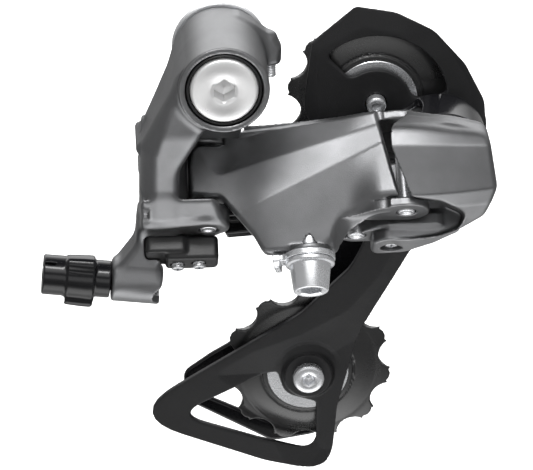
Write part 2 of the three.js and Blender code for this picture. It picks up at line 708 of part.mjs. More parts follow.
// A ring sector around the guide pulley, from one angle to another.
function sector(inner, outer, from, to) {
  const shape = new THREE.Shape();
  shape.absarc(GUIDE.x, GUIDE.z, outer, from, to, false);
  shape.absarc(GUIDE.x, GUIDE.z, inner, to, from, true);
  return shape;
}

function outerPlate() {
  const { front, back } = OUTER_PLATE;
  const lower = outline([
    [48.5, -57.5, 6], [29.6, -104, 6], [28, -119.6, 9], [14, -118.9, 8], [-17, -107.6, 9], [-14.5, -96.2, 5],
    [20, -75.2, 12], [38, -57, 8], [42, -45], [50, -44],
  ]);
  const neck = outline([
    [36.4, -58.5], [39.6, -44], [42.2, -36, 6], [44, -24], [64.6, -24], [62.5, -36, 12], [48.4, -57.6],
  ]);
  const lobe = outline([
    [22.9, -1.6, 1.2], [33.4, 7.4, 2], [43.4, 5.6, 9], [52.8, 0.6, 9], [60.6, -8.4, 9], [65.6, -18.4, 8],
    [66.3, -29, 6], [56, -38, 6], [30, -33, 10], [20.5, -20, 10],
  ]);
  const crescent = sector(GUIDE.boss + 1.2, 17.8, 0.1, 2.35);
  const triangle = outline([
    [-5.8, -102.8, 2.4], [8.5, -93.4, 4], [14.4, -93.4, 1], [16.4, -99, 5], [24.8, -101.6, 1],
    [24.6, -113.6, 5], [12, -112.6, 4], [-5.8, -106.6, 2.6],
  ]);
  const body = join(plateY(lower, front, back), plateY(neck, front, back), plateY(lobe, front, back, 8));
  const boss = rod(TENSION.boss, front, back, 28).translate([TENSION.x, 0, TENSION.z]);
  return cut(
    join(cut(body, plateY(crescent, front - 1, back + 1, 10), plateY(triangle, front - 1, back + 1)), boss),
    ...boltHoles(front, back),
    rod(3.4 + GAP, front - 1, back + 1).translate([CAGE_PIVOT.x, 0, CAGE_PIVOT.z]),
    rod(0.8 + GAP, front - 1, back + 1, 12).translate([STOP_PIN.x, 0, STOP_PIN.z]),
  );
}

function innerPlate() {
  const { front, back } = INNER_PLATE;
  const strip = outline([
    [30.6, -18], [31, -54, 6], [27, -73.8, 8], [-2, -91.4, 4], [-9.4, -96.8, 4], [-8.4, -105, 4],
    [13.7, -117.6, 6], [29, -115, 9], [33, -94, 6], [45, -60, 8], [47.2, -18],
  ]);
  const window = outline([
    [-4.4, -100.2, 2], [6, -94.4, 3], [14.2, -93.4, 1], [16.2, -99.4, 5], [22, -102, 1],
    [21.4, -111.4, 4], [13, -111.8, 3], [-3.6, -103.6, 1.6],
  ]);
  const lobe = circle(GUIDE.x, GUIDE.z, 9.4);
  return cut(
    join(plateY(strip, front, back), plateY(lobe, front, back, 16)),
    plateY(window, front - 1, back + 1),
    ...boltHoles(front, back),
  );
}

// The axle has a flange that closes the spring's bore, and a riveted end in the plate.
function cageAxle() {
  return turnedY([
    [0, -22], [CAGE_AXLE_R, -22], [CAGE_AXLE_R, -0.4], [9.6, -0.4], [9.6, 3], [3.4, 3], [3.4, 5.3], [0, 5.3],
  ], 24);
}

add(derailleur, 'outer_cage_plate', outerPlate(), 'plate');
add(derailleur, 'inner_cage_plate', innerPlate(), 'gloss');
add(cageFrame, 'cage_axle', cageAxle(), 'steel');

// The pin that rests on the knuckle's stop when no chain pulls the cage forward.
function stopPin() {
  const { r } = STOP_PIN;
  const shoulder = OUTER_PLATE.front - GAP;
  return turnedY([[0, -3], [r, -3], [r, shoulder], [0.8, shoulder], [0.8, 5], [0, 5]], 12);
}

add(derailleur, 'cage_stop_pin', stopPin(), 'steel').position.set(STOP_PIN.x, 0, STOP_PIN.z);

// ---- Pulleys -----------------------------------------------------------------------

// One tooth gap holds a chain roller, and the tooth beside it is cut short at the tip.
function pulleyOutline(phase) {
  const shape = new THREE.Shape();
  const step = 2 * Math.PI / TEETH;
  for (let i = 0; i < TEETH; i += 1) {
    const tooth = phase + i * step;
    const valley = tooth + step / 2;
    const cx = PITCH_R * Math.cos(valley);
    const cy = PITCH_R * Math.sin(valley);
    [-TIP_HALF, TIP_HALF].forEach((side) => {
      const x = TOOTH_TIP_R * Math.cos(tooth + side);
      const y = TOOTH_TIP_R * Math.sin(tooth + side);
      if (i === 0 && side < 0) shape.moveTo(x, y);
      else shape.lineTo(x, y);
    });
    shape.absarc(cx, cy, ROLLER_R, valley + Math.PI + VALLEY_HALF, valley + Math.PI - VALLEY_HALF, true);
  }
  return shape;
}

function pulley({ phase }) {
  const half = TOOTH_THICKNESS / 2;
  const rim = plateY(pulleyOutline(phase), CHAIN_Y - half, CHAIN_Y + half, 3);
  const hub = rod(11, CHAIN_Y - 2.9, CHAIN_Y + 2.9, 24);
  return cut(join(rim, hub), rod(5.6, 0, 20));
}

function pulleyBush() {
  return tube(PULLEY_BOLT_R + GAP, 5.3, CHAIN_Y - 3.1, CHAIN_Y + 3.1);
}

function pulleyCap(side) {
  const near = CHAIN_Y + side * 3.3;
  const far = CHAIN_Y + side * 3.75;
  return tube(PULLEY_BOLT_R + GAP, 10.4, Math.min(near, far), Math.max(near, far), 24);
}

[GUIDE, TENSION].forEach((wheel) => {
  const place = new THREE.Group();
  place.position.set(wheel.x, 0, wheel.z);
  derailleur.add(place);
  add(place, `${wheel.name}_pulley`, pulley(wheel), 'resin');
  add(place, `${wheel.name}_pulley_bush`, pulleyBush(), 'brass');
  add(place, `${wheel.name}_pulley_outer_cap`, pulleyCap(-1), 'steel');
  add(place, `${wheel.name}_pulley_inner_cap`, pulleyCap(1), 'steel');
});

// The guide bolt enters from the wheel side and the tension bolt from the outer side.
function guideBolt() {
  const r = PULLEY_BOLT_R;
  return turnedY([[0, 1.0], [2, 1.0], [r, 1.4], [r, 15], [4, 15], [4, 17.2], [0, 17.2]]);
}

function tensionBolt() {
  const r = PULLEY_BOLT_R;
  return turnedY([[0, 0.8], [3.6, 0.8], [3.9, 1.1], [3.9, 3.0], [r, 3.0], [r, 16], [0, 16]]);
}

const guideBoltBody = cut(guideBolt(), hexSocket(1.5, 0.6, 2), hexSocket(1.8, 15.5, 3));
const tensionBoltBody = cut(tensionBolt(), hexSocket(1.8, 0.4, 2));
add(derailleur, 'guide_pulley_bolt', guideBoltBody, 'steel').position.set(GUIDE.x, 0, GUIDE.z);
add(derailleur, 'tension_pulley_bolt', tensionBoltBody, 'steel').position.set(TENSION.x, 0, TENSION.z);

export default derailleur;
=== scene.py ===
"""Rear bicycle derailleur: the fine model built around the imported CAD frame.

Castings are signed distance fields meshed by surface nets, turned parts are lathed, and
every piece rides on the CAD body of the node that it stands for. Lengths below are in
millimetres in the row frame and become metres when a mesh is made.
"""

import itertools
import json
import math

import bmesh
import bpy
import numpy as np
from mathutils import Matrix, Vector


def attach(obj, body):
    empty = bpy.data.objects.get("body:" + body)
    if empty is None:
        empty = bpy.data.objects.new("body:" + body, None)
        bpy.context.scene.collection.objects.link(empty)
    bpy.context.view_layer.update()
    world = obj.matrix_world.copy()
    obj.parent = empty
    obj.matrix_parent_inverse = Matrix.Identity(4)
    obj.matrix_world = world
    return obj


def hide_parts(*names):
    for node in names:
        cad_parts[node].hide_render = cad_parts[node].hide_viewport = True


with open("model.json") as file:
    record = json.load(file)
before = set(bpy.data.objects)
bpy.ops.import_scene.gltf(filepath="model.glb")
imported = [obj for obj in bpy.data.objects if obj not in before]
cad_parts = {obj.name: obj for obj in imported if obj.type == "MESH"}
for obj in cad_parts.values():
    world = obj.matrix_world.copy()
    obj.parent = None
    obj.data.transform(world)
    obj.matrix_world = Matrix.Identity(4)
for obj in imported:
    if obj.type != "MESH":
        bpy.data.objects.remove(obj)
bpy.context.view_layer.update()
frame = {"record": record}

MM = 0.001
BODIES = frame["record"]["behaviour"]["bodies"]
BODY_OF = {node: body for body, nodes in BODIES.items() for node in nodes}

# Cell sizes of the meshed castings
COARSE, FINE, SMALL = ((0.45, 0.38, 0.26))

# ---- Dimensions shared with the CAD part ----

HALF_ROOT = math.sqrt(0.5)
LINK_LENGTH, LINK_ANGLE = 48.5, math.radians(-11)
P1 = (-3.7, 16.0)
P2 = (P1[0] - 11.3, P1[1] + 14.0)
P3 = (P1[0] + LINK_LENGTH * math.cos(LINK_ANGLE), P1[1] + LINK_LENGTH * math.sin(LINK_ANGLE))
P4 = (P3[0] - 11.3, P3[1] + 14.0)
PIN_R = 2.1
PIN_HOLE_R = PIN_R + 0.25
SCREW_HOLE_R = 1.75
BRACKET_LOW_EAR, BRACKET_TOP_EAR = (-41.9, -36.2), (-21.4, -16.9)
LINK_LOW_EAR, LINK_TOP_EAR = (-41.9, -39.7), (-19.2, -16.9)
LINK_BOSS = (-34.7, -21.8)
LINK_BELLY = -49.2
CAGE = (53.5, -25.6)
OUTER_PLATE, INNER_PLATE = (3.3, 5.1), (12.9, 14.7)
GUIDE, TENSION = (38.6, -17.9), (22.3, -93.3)
GUIDE_PHASE, TENSION_PHASE = 3.021, 2.128
CHAIN_Y = 9.0
ADJUSTER, ADJUSTER_TILT = (-21.3, -13.0, -57.1), math.radians(6.6)
ANCHOR_U, ANCHOR_V, ANCHOR_P = 24.4, 1.0, -50.2
TENSION_SCREW = (12.0, -4.9)
STOP_PIN = (51.6, -39.1)

# u runs along a link and v across it; m runs across the tilted links and p along their pins.

# ---- Distance fields ----


def rounded(corners, least=0.25):
    """The points of a closed outline whose corners are (x, y) or, when rounded, (x, y, radius)."""
    spots = np.array([c[:2] for c in corners], float)
    radii = [c[2] if len(c) > 2 else least for c in corners]
    points = []
    for i, radius in enumerate(radii):
        corner = spots[i]
        before, after = spots[i - 1] - corner, spots[(i + 1) % len(spots)] - corner
        room = 0.48 * min(np.linalg.norm(before), np.linalg.norm(after))
        before, after = before / np.linalg.norm(before), after / np.linalg.norm(after)
        half = math.acos(max(-1.0, min(1.0, float(before @ after)))) / 2
        reach = min(radius / max(math.tan(half), 1e-3), room)
        steps = 2 + int(reach > 0.6) * 3 + int(reach > 3) * 3
        start, end = corner + before * reach, corner + after * reach
        for s in np.linspace(0, 1, steps + 1):
            points.append((1 - s) ** 2 * start + 2 * s * (1 - s) * corner + s**2 * end)
    return np.array(points)


def polygon_distance(points, u, v):
    """Signed distance from every (u, v) to a closed polygon, negative inside."""
    best = np.full(u.shape, 1e9)
    inside = np.zeros(u.shape, bool)
    for (ax, ay), (bx, by) in zip(points, np.roll(points, -1, axis=0)):
        ex, ey = bx - ax, by - ay
        wx, wy = u - ax, v - ay
        t = np.clip((wx * ex + wy * ey) / max(ex * ex + ey * ey, 1e-12), 0, 1)
        best = np.minimum(best, (wx - t * ex) ** 2 + (wy - t * ey) ** 2)
        if ay != by:
            crosses = ((ay > v) != (by > v)) & (u < ax + (v - ay) * ex / ey)
            inside ^= crosses
    return np.where(inside, -1, 1) * np.sqrt(best)


class Outline:
    """Signed distance to an outline, tabled on a fine grid so that a lookup is cheap."""

    PITCH = 0.2

    def __init__(self, corners, points=None, margin=5.0):
        points = rounded(corners) if points is None else points
        self.low = points.min(0) - margin
        self.count = np.ceil((points.max(0) + margin - self.low) / self.PITCH).astype(int) + 1
        axes = [self.low[i] + np.arange(self.count[i]) * self.PITCH for i in (0, 1)]
        self.table = polygon_distance(points, *np.meshgrid(*axes, indexing="ij")).astype(np.float32)

    def __call__(self, u, v):
        a, b = (u - self.low[0]) / self.PITCH, (v - self.low[1]) / self.PITCH
        ca, cb = np.clip(a, 0, self.count[0] - 1.001), np.clip(b, 0, self.count[1] - 1.001)
        i, j = ca.astype(np.int32), cb.astype(np.int32)
        f, g = ca - i, cb - j
        t = self.table
        near = t[i, j] * (1 - f) * (1 - g) + t[i + 1, j] * f * (1 - g)
        far = t[i, j + 1] * (1 - f) * g + t[i + 1, j + 1] * f * g
        return near + far + np.hypot(a - ca, b - cb) * self.PITCH


def prism(d, t, low, high, edge=0.4):
    """An outline's distance d extruded along t, with its edges rounded."""
    q, w = d + edge, np.abs(t - (low + high) / 2) - (high - low) / 2 + edge
    return np.minimum(np.maximum(q, w), 0) + np.hypot(np.maximum(q, 0), np.maximum(w, 0)) - edge


def blend(a, b, k):
    """Union with a fillet of about k."""
    h = np.maximum(k - np.abs(a - b), 0) / k
    return np.minimum(a, b) - h * h * k / 4


def common(a, b, k):
    """Intersection with an outer edge rounded by about k."""
    return -blend(-a, -b, k)


def cut(body, *tools, k=0.5):
    """The body less its tools, with new edges rounded by about k."""
    for tool in tools:
        body = common(body, -tool, k)
    return body


def disc(u, v, centre, radius):
    return np.hypot(u - centre[0], v - centre[1]) - radius


def bar(u, v, a, b, radius):
    """A capsule from a to b."""
    ex, ey = b[0] - a[0], b[1] - a[1]
    t = np.clip(((u - a[0]) * ex + (v - a[1]) * ey) / (ex * ex + ey * ey), 0, 1)
    return np.hypot(u - a[0] - t * ex, v - a[1] - t * ey) - radius


def plane(u, v, a, b):
    """Distance to the line from a to b, positive on its left."""
    ex, ey = b[0] - a[0], b[1] - a[1]
    return (ex * (v - a[1]) - ey * (u - a[0])) / math.hypot(ex, ey)


def fade(t):
    """1 well below t = 0 and 0 well above it."""
    return 1 / (1 + np.exp(t))


def tilted(y, z):
    """The tilted frame's m, across the links, and p, along their pins."""
    return (y - z) * HALF_ROOT, (y + z) * HALF_ROOT


def in_link(x, m, pin):
    """u along a link from its bracket pin, and v across it."""
    c, s = math.cos(LINK_ANGLE), math.sin(LINK_ANGLE)
    dx, dm = x - pin[0], m - pin[1]
    return dx * c + dm * s, dm * c - dx * s


# ---- Meshing ----

BLOCK = 6
EDGES = [(a, a | bit) for bit in (1, 2, 4) for a in range(8) if not a & bit]
CORNERS = np.array([(c & 1, c >> 1 & 1, c >> 2 & 1) for c in range(8)])


def sample(field, points):
    parts = np.array_split(points, max(1, len(points) // 250000))
    return np.concatenate([field(*part.astype(np.float32).T) for part in parts])


def gradient(field, points, h=0.06):
    signs = np.array([(1, -1, -1), (-1, -1, 1), (-1, 1, -1), (1, 1, 1)], float)
    total = sum(s * sample(field, points + s * h)[:, None] for s in signs)
    return total / (4 * h)


def distances(field, low, step, blocks):
    """The field on a grid, worked out only near the surface and signed elsewhere."""
    half = (BLOCK - 1) / 2
    axes = [low[i] + (np.arange(blocks[i]) * BLOCK + half) * step for i in range(3)]
    centres = np.stack(np.meshgrid(*axes, indexing="ij"), -1).reshape(-1, 3)
    middle = sample(field, centres)
    grid = np.repeat(np.repeat(np.repeat(middle.reshape(blocks), BLOCK, 0), BLOCK, 1), BLOCK, 2)
    near = np.flatnonzero(np.abs(middle) < step * (math.sqrt(3) * half + 2.5))
    first = np.stack(np.unravel_index(near, blocks), -1) * BLOCK
    inner = np.stack(np.meshgrid(*[np.arange(BLOCK)] * 3, indexing="ij"), -1).reshape(-1, 3)
    spots = (first[:, None] + inner).reshape(-1, 3)
    grid[tuple(spots.T)] = sample(field, low + spots * step)
    return grid


def surface(field, low, high, step):
    """Vertices, quads and normals of the field's zero surface."""
    low = np.array(low, float)
    blocks = np.ceil((np.array(high) - low) / step / BLOCK).astype(int)
    grid = distances(field, low, step, blocks)
    inside = grid < 0
    cells = np.array(grid.shape) - 1
    windows = [tuple(slice(o, o + n) for o, n in zip(corner, cells)) for corner in CORNERS]
    count = sum(inside[window].astype(np.int8) for window in windows)
    active = np.stack(np.nonzero((count > 0) & (count < 8)), -1)
    values = np.stack([grid[tuple((active + c).T)] for c in CORNERS], -1)
    total, hits = np.zeros((len(active), 3)), np.zeros(len(active))
    for a, b in EDGES:
        va, vb = values[:, a], values[:, b]
        hit = (va < 0) != (vb < 0)
        t = np.where(hit, va / np.where(hit, va - vb, 1), 0)[:, None]
        total += np.where(hit[:, None], CORNERS[a] + t * (CORNERS[b] - CORNERS[a]), 0)
        hits += hit
    points = low + (active + total / hits[:, None]) * step
    index = np.full(cells, -1, np.int32)
    index[tuple(active.T)] = np.arange(len(active))
    quads = []
    for axis in range(3):
        u, v = (axis + 1) % 3, (axis + 2) % 3
        take = [slice(1, n) for n in cells]
        take[axis] = slice(0, cells[axis])
        after = list(take)
        after[axis] = slice(1, cells[axis] + 1)
        here, there = inside[tuple(take)], inside[tuple(after)]
        spots = np.stack(np.nonzero(here != there), -1) + [int(i != axis) for i in range(3)]
        du, dv = np.eye(3, dtype=int)[u], np.eye(3, dtype=int)[v]
        ring = [spots - du - dv, spots - dv, spots, spots - du]
        quad = np.stack([index[tuple(r.T)] for r in ring], -1)
        outward = inside[tuple(spots.T)]
        quads.append(np.where(outward[:, None], quad, quad[:, ::-1]))
    for _ in range(3):
        slope = gradient(field, points)
        size = np.maximum((slope**2).sum(1), 0.05)
        move = -sample(field, points)[:, None] * slope / size[:, None]
        points = points + np.clip(move, -0.4 * step, 0.4 * step)
    normals = gradient(field, points)
    return points, np.concatenate(quads), normals / np.linalg.norm(normals, axis=1)[:, None]


def convexity(points, quads, normals):
    """0 on flat and hollow places, up to 1 along outer edges."""
    pairs = np.concatenate([quads[:, [i, (i + 1) % 4]] for i in range(4)])
    total = np.zeros_like(points)
    gap = points[pairs[:, 1]] - points[pairs[:, 0]]
    for axis in range(3):
        total[:, axis] = np.bincount(pairs[:, 0], gap[:, axis], len(points))
    count = np.maximum(np.bincount(pairs[:, 0], minlength=len(points)), 1)
    reach = np.bincount(pairs[:, 0], np.linalg.norm(gap, axis=1), len(points)) / count
    bend = -(total / count[:, None] * normals).sum(1) / np.maximum(reach, 1e-6)
    return np.clip((bend - 0.06) * 4, 0, 1)


def cast(node, field, low, high, step, material):
    """A piece meshed from a field, standing for a CAD node."""
    points, quads, normals = surface(field, low, high, step)
    mesh = bpy.data.meshes.new("fine_" + node)
    mesh.vertices.add(len(points))
    mesh.loops.add(quads.size)
    mesh.polygons.add(len(quads))
    mesh.vertices.foreach_set("co", (points * MM).astype(np.float32).ravel())
    mesh.loops.foreach_set("vertex_index", quads.astype(np.int32).ravel())
    mesh.polygons.foreach_set("loop_start", np.arange(0, quads.size, 4, dtype=np.int32))
    mesh.update(calc_edges=True)
    mesh.shade_smooth()
    edge = mesh.attributes.new("edge", "FLOAT", "POINT")
    edge.data.foreach_set("value", convexity(points, quads, normals).astype(np.float32))
    mesh.normals_split_custom_set_from_vertices(normals.tolist())
    return settle(node, mesh, material)


def settle(node, mesh, material):
    piece = bpy.data.objects.new("fine_" + node, mesh)
    bpy.context.scene.collection.objects.link(piece)
    mesh.materials.append(MATERIALS[material])
    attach(piece, BODY_OF[node])
    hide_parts(node)
    return piece


# ---- Turned parts ----


def hexagon(theta, corner):
    fold = (theta + math.pi / 6) % (math.pi / 3) - math.pi / 6
    return corner * math.cos(math.pi / 6) / np.cos(fold)


def cross(theta, reach):
    fold = (theta + math.pi / 4) % (math.pi / 2) - math.pi / 4
    return np.minimum(reach / np.cos(fold), 0.22 * reach / np.maximum(np.abs(np.sin(fold)), 1e-4))


def thread(radius, low, high, pitch, depth):
    """Rows of a helical thread, for a profile."""
    rows = []
    for t in np.arange(low, high, pitch / 6):
        def ridge(theta, _, t=t):
            phase = (t / pitch - theta / (2 * math.pi)) % 1
            fade = min(1, (t - low) / pitch, (high - t) / pitch)
            return radius - depth * (1 - np.abs(2 * phase - 1)) * fade
        rows.append((radius, float(t), ridge))
    return rows


def lathe(node, rows, place, material, segments=56, bevel=0.18):
    """A body turned about local +Z, from rows of (radius, z) or (radius, z, shape)."""
    closed = rows[0][0] > 0 or rows[-1][0] > 0
    theta = np.arange(segments) * 2 * math.pi / segments
    rings = []
    for i, row in enumerate(rows):
        shape = row[2] if len(row) > 2 else None
        spot = np.array(row[:2], float)
        if shape is not None or (not closed and i in (0, len(rows) - 1)):
            rings.append((spot, shape))
            continue
        for other in (rows[i - 1], rows[(i + 1) % len(rows)]):
            gap = np.array(other[:2], float) - spot
            size = np.linalg.norm(gap)
            rings.append((spot + gap / max(size, 1e-9) * min(bevel, 0.3 * size), None))
    verts, faces = [], []
    for spot, shape in rings:
        r = spot[0] if shape is None else shape(theta, spot[0])
        verts.append(np.stack([r * np.cos(theta), r * np.sin(theta), np.full(segments, spot[1])], -1))
    verts = np.concatenate(verts)
    pairs = list(zip(range(len(rings)), range(1, len(rings))))
    if closed:
        pairs.append((len(rings) - 1, 0))
    around = np.arange(segments)
    then = (around + 1) % segments
    for a, b in pairs:
        a, b = a * segments, b * segments
        faces += np.stack([a + around, a + then, b + then, b + around], -1).tolist()
    mesh = bpy.data.meshes.new("fine_" + node)
    mesh.from_pydata((verts * MM).tolist(), [], faces)
    tidy(mesh)
    mesh.transform(place)
    return settle(node, mesh, material)


def tube(node, inner, outer, low, high, place, material, **options):
    """A plain tube, turned about local +Z."""
    rows = [(inner, low), (outer, low), (outer, high), (inner, high)]
    return lathe(node, rows, place, material, **options)


def tidy(mesh):
    """Merges the points on the axis, faces the skin outwards and marks its edges."""
    bm = bmesh.new()
    bm.from_mesh(mesh)
    bmesh.ops.remove_doubles(bm, verts=bm.verts, dist=2e-6)
    bmesh.ops.dissolve_degenerate(bm, edges=bm.edges, dist=1e-6)
    bmesh.ops.recalc_face_normals(bm, faces=bm.faces)
    bm.to_mesh(mesh)
    bm.free()
    mesh.shade_smooth()
    mesh.set_sharp_from_angle(angle=math.radians(32))


def coil(node, radius, wire, low, high, turns, place, material, sides=10):
    """A round wire wound about local +Z."""
    steps = turns * 40
    s = np.linspace(0, 1, steps + 1)
    angle = s * turns * 2 * math.pi
    pitch = (high - low - 2 * wire) / (turns * 2 * math.pi)
    centre = np.stack([radius * np.cos(angle), radius * np.sin(angle), low + wire + angle * pitch], -1)
    along = np.stack([-radius * np.sin(angle), radius * np.cos(angle), np.full_like(angle, pitch)], -1)
    along /= np.linalg.norm(along, axis=1)[:, None]
    out = np.stack([np.cos(angle), np.sin(angle), np.zeros_like(angle)], -1)
    up = np.cross(along, out)
    phi = np.arange(sides) * 2 * math.pi / sides
    ring = out[:, None] * np.cos(phi)[:, None] + up[:, None] * np.sin(phi)[:, None]
    verts = (centre[:, None] + wire * ring).reshape(-1, 3)
    now = np.arange(sides)
    then = (now + 1) % sides
    faces = []
    for k in range(steps):
        a, b = k * sides, (k + 1) * sides
        faces += np.stack([a + now, a + then, b + then, b + now], -1).tolist()
    faces += [list(range(sides))[::-1], [steps * sides + i for i in range(sides)]]
    mesh = bpy.data.meshes.new("fine_" + node)
    mesh.from_pydata((verts * MM).tolist(), [], faces)
    tidy(mesh)
    mesh.transform(place)
    return settle(node, mesh, material)


def along_y(x=0.0, z=0.0):
    """Local +Z laid along row +Y, at that x and z."""
    return Matrix.Translation((x * MM, 0, z * MM)) @ Matrix.Rotation(-math.pi / 2, 4, "X")


TILT = Matrix.Rotation(-math.pi / 4, 4, "X")


def along_p(x, m):
    """Local +Z laid along the pins, at that place of the tilted frame."""
    return TILT @ Matrix.Translation((x * MM, m * MM, 0))


# ---- Materials ----


def feed(tree, socket, value):
    """Links a socket to the one given, or sets its value."""
    if isinstance(value, bpy.types.NodeSocket):
        tree.links.new(value, socket)
    else:
        socket.default_value = value


def mapped(tree, value, start, end, low, high, interpolation="LINEAR"):
    """A value mapped from start and end to low and high."""
    node = tree.nodes.new("ShaderNodeMapRange")
    node.interpolation_type = interpolation
    for name, number in (("From Min", start), ("From Max", end), ("To Min", low), ("To Max", high)):
        node.inputs[name].default_value = number
    tree.links.new(value, node.inputs["Value"])
    return node.outputs["Result"]


def mixed(tree, factor, a, b):
    """Two colours mixed by a factor."""
    node = tree.nodes.new("ShaderNodeMix")
    node.data_type = "RGBA"
    for name, value in (("Factor", factor), ("A", a), ("B", b)):
        feed(tree, node.inputs[name], value)
    return node.outputs["Result"]


def maths(tree, kind, a, b):
    """Two values added or multiplied, clamped to 0 and 1."""
    node = tree.nodes.new("ShaderNodeMath")
    node.operation = kind
    node.use_clamp = True
    feed(tree, node.inputs[0], a)
    feed(tree, node.inputs[1], b)
    return node.outputs["Value"]


def noise(tree, scale, detail, low, high, coords):
    """A noise mapped to a range."""
    texture = tree.nodes.new("ShaderNodeTexNoise")
    texture.inputs["Scale"].default_value = scale
    texture.inputs["Detail"].default_value = detail
    tree.links.new(coords, texture.inputs["Vector"])
    return mapped(tree, texture.outputs["Fac"], 0.3, 0.7, low, high)


def finish_of(name, colour, rough, metallic, grain, bump=0.15, tone=0.12, wear=0.3, worn=None,
              coat=0.0, anisotropic=0.0, specular=0.5):
    """A procedural finish: cloudy tone and gloss, fine grain in the bump, and paler worn edges."""
    material = bpy.data.materials.new(name)
    material.use_nodes = True
    tree = material.node_tree
    shader = tree.nodes["Principled BSDF"]
    shader.inputs["Metallic"].default_value = metallic
    shader.inputs["Coat Weight"].default_value = coat
    shader.inputs["Coat Roughness"].default_value = 0.1
    shader.inputs["Specular IOR Level"].default_value = specular
    shader.inputs["Anisotropic"].default_value = anisotropic
    coords = tree.nodes.new("ShaderNodeTexCoord").outputs["Object"]
    dark = tuple(c * (1 - tone) for c in colour) + (1,)
    pale = tuple(min(1, c * (1 + tone)) for c in colour) + (1,)
    worn = tuple(worn or [min(1, c * 1.9 + 0.03) for c in colour]) + (1,)
    cloud = noise(tree, 120, 5, 0, 1, coords)
    speckle = noise(tree, grain, 3, 0, 1, coords)
    edge = tree.nodes.new("ShaderNodeAttribute")
    edge.attribute_name = "edge"
    scuffs = noise(tree, 260, 6, 0.1, 1, coords)
    wear_at = maths(tree, "MULTIPLY", maths(tree, "MULTIPLY", edge.outputs["Fac"], scuffs), wear)
    toned = mixed(tree, cloud, dark, pale)
    flecked = mixed(tree, maths(tree, "MULTIPLY", speckle, 0.25), toned, pale)
    tree.links.new(mixed(tree, wear_at, flecked, worn), shader.inputs["Base Color"])
    patchy = noise(tree, 70, 6, rough * 0.88, rough * 1.12, coords)
    gritty = maths(tree, "MULTIPLY", speckle, rough * 0.12)
    tree.links.new(maths(tree, "ADD", patchy, gritty), shader.inputs["Roughness"])
    relief = tree.nodes.new("ShaderNodeBump")
    relief.inputs["Strength"].default_value = bump
    relief.inputs["Distance"].default_value = 0.00005
    tree.links.new(speckle, relief.inputs["Height"])
    tree.links.new(relief.outputs["Normal"], shader.inputs["Normal"])
    if anisotropic:
        tangent = tree.nodes.new("ShaderNodeTangent")
        tangent.direction_type = "RADIAL"
        tangent.axis = "Y"
        tree.links.new(tangent.outputs["Tangent"], shader.inputs["Tangent"])
    return material


MATERIALS = {
    "paint": finish_of(
        "satin_grey_paint", (0.235, 0.237, 0.243), 0.33, 0.94, grain=5200, bump=0.35, wear=0.35,
        worn=(0.62, 0.62, 0.63)),
    "steel": finish_of(
        "plated_steel", (0.84, 0.85, 0.87), 0.24, 0.82, grain=2200, bump=0.12, tone=0.06, wear=0.2),
    "turned": finish_of(
        "turned_steel", (0.9, 0.9, 0.9), 0.3, 0.66, grain=2600, bump=0.25, tone=0.05, wear=0.1,
        anisotropic=0.85),
    "spring_steel": finish_of("spring_steel", (0.3, 0.3, 0.31), 0.3, 1.0, grain=1800, wear=0.1),
    "plate_black": finish_of(
        "black_anodised_plate", (0.012, 0.012, 0.013), 0.46, 0.25, grain=3600, bump=0.45, wear=0.25,
        worn=(0.09, 0.09, 0.095)),
    "gloss_black": finish_of(
        "gloss_black", (0.006, 0.006, 0.007), 0.16, 0.0, grain=1500, bump=0.05, wear=0.15,
        worn=(0.05, 0.05, 0.055), coat=0.2, specular=0.35),
    # Also used on the limit screw holder, where its near-black paints the shade under the bracket's foot.
    "resin": finish_of(
        "resin_and_painted_shade", (0.009, 0.009, 0.0095), 0.36, 0.0, grain=2600, bump=0.25, wear=0.2,
        worn=(0.05, 0.05, 0.05)),
    "pulley_resin": finish_of(
        "pulley_resin", (0.012, 0.012, 0.0125), 0.27, 0.0, grain=2600, worn=(0.07, 0.07, 0.07),
        specular=0.9),
    "bronze": finish_of("sintered_bronze", (0.36, 0.24, 0.1), 0.42, 1.0, grain=3000, bump=0.5, wear=0.2),
}

# ---- Bracket body ----

BARREL_R, BARREL_FRONT, BARREL_BACK = 10.84, -28.0, -2.3
ARM_FRONT = Outline([
    (0, 6), (-9.2, 5.6, 1), (-19.9, -17.2, 4), (-20.4, -41, 3), (-17, -47.5, 1), (-10.8, -47.5, 1),
    (-10.6, -23, 8), (-3, -9, 2),
])
ARM_SIDE = Outline([
    (-26.4, 4), (-26.0, -13, 16), (-21.6, -37.6, 5), (-12.7, -46.5, 1), (-8.8, -42.6, 1), (-3.4, -21, 3),
    (-3.4, 4),
])
FOOT = Outline([(-19.4, 13, 2), (-3.7, 11, 1), (-3.7, 18), (-15, 35), (-19.4, 35, 1)])
TOP_EAR = Outline([(-19.4, 2), (-10.6, 2), (-3.7, 11), (-3.7, 18), (-15, 35), (-19.4, 35, 1)])
WALL_IN_BRACKET = Outline([(-19.6, 8), (-18.3, 8), (-18.3, 34.4), (-19.6, 34.4)])
DIVIDER = Outline([(-19, 21.4, 0.5), (-8, 21.4, 0.5), (-8, 23, 0.5), (-19, 23.6, 0.5)])
SCREW_BLOCK = Outline([(-14.2, 19, 1.5), (-1.2, 19, 1.5), (-1.2, 27, 1.5), (-14.2, 27, 1.5)])
HOLDER_WEB = Outline([(-19, 18, 1.5), (-9, 18, 1.5), (-9, 28, 1.5), (-19, 28, 1.5)])
WEB = Outline([
    (-20.4, -38), (-21.4, -45.6, 6), (-26.6, -52.6, 1), (-26.6, -57.5), (-15.5, -56.2), (-15.5, -51, 4),
    (-11, -43), (-11, -38),
])
TAB = Outline([
    (4, 9.8), (8.4, 7.6, 2), (12.8, 4.6, 1.2), (14.6, 1.8, 1), (14.2, -2.2, 0.6), (9.6, -3.0), (4, -3),
])
WEDGE = Outline([(-20, 2), (-4.5, 2, 2), (-1.6, 7, 3), (0.4, 13, 4), (1.3, 18, 3), (-20, 18)])
SHOULDER = Outline([(-11, 0), (5, 0.5, 2), (4.6, 8.4, 1), (-11, 8.4)])
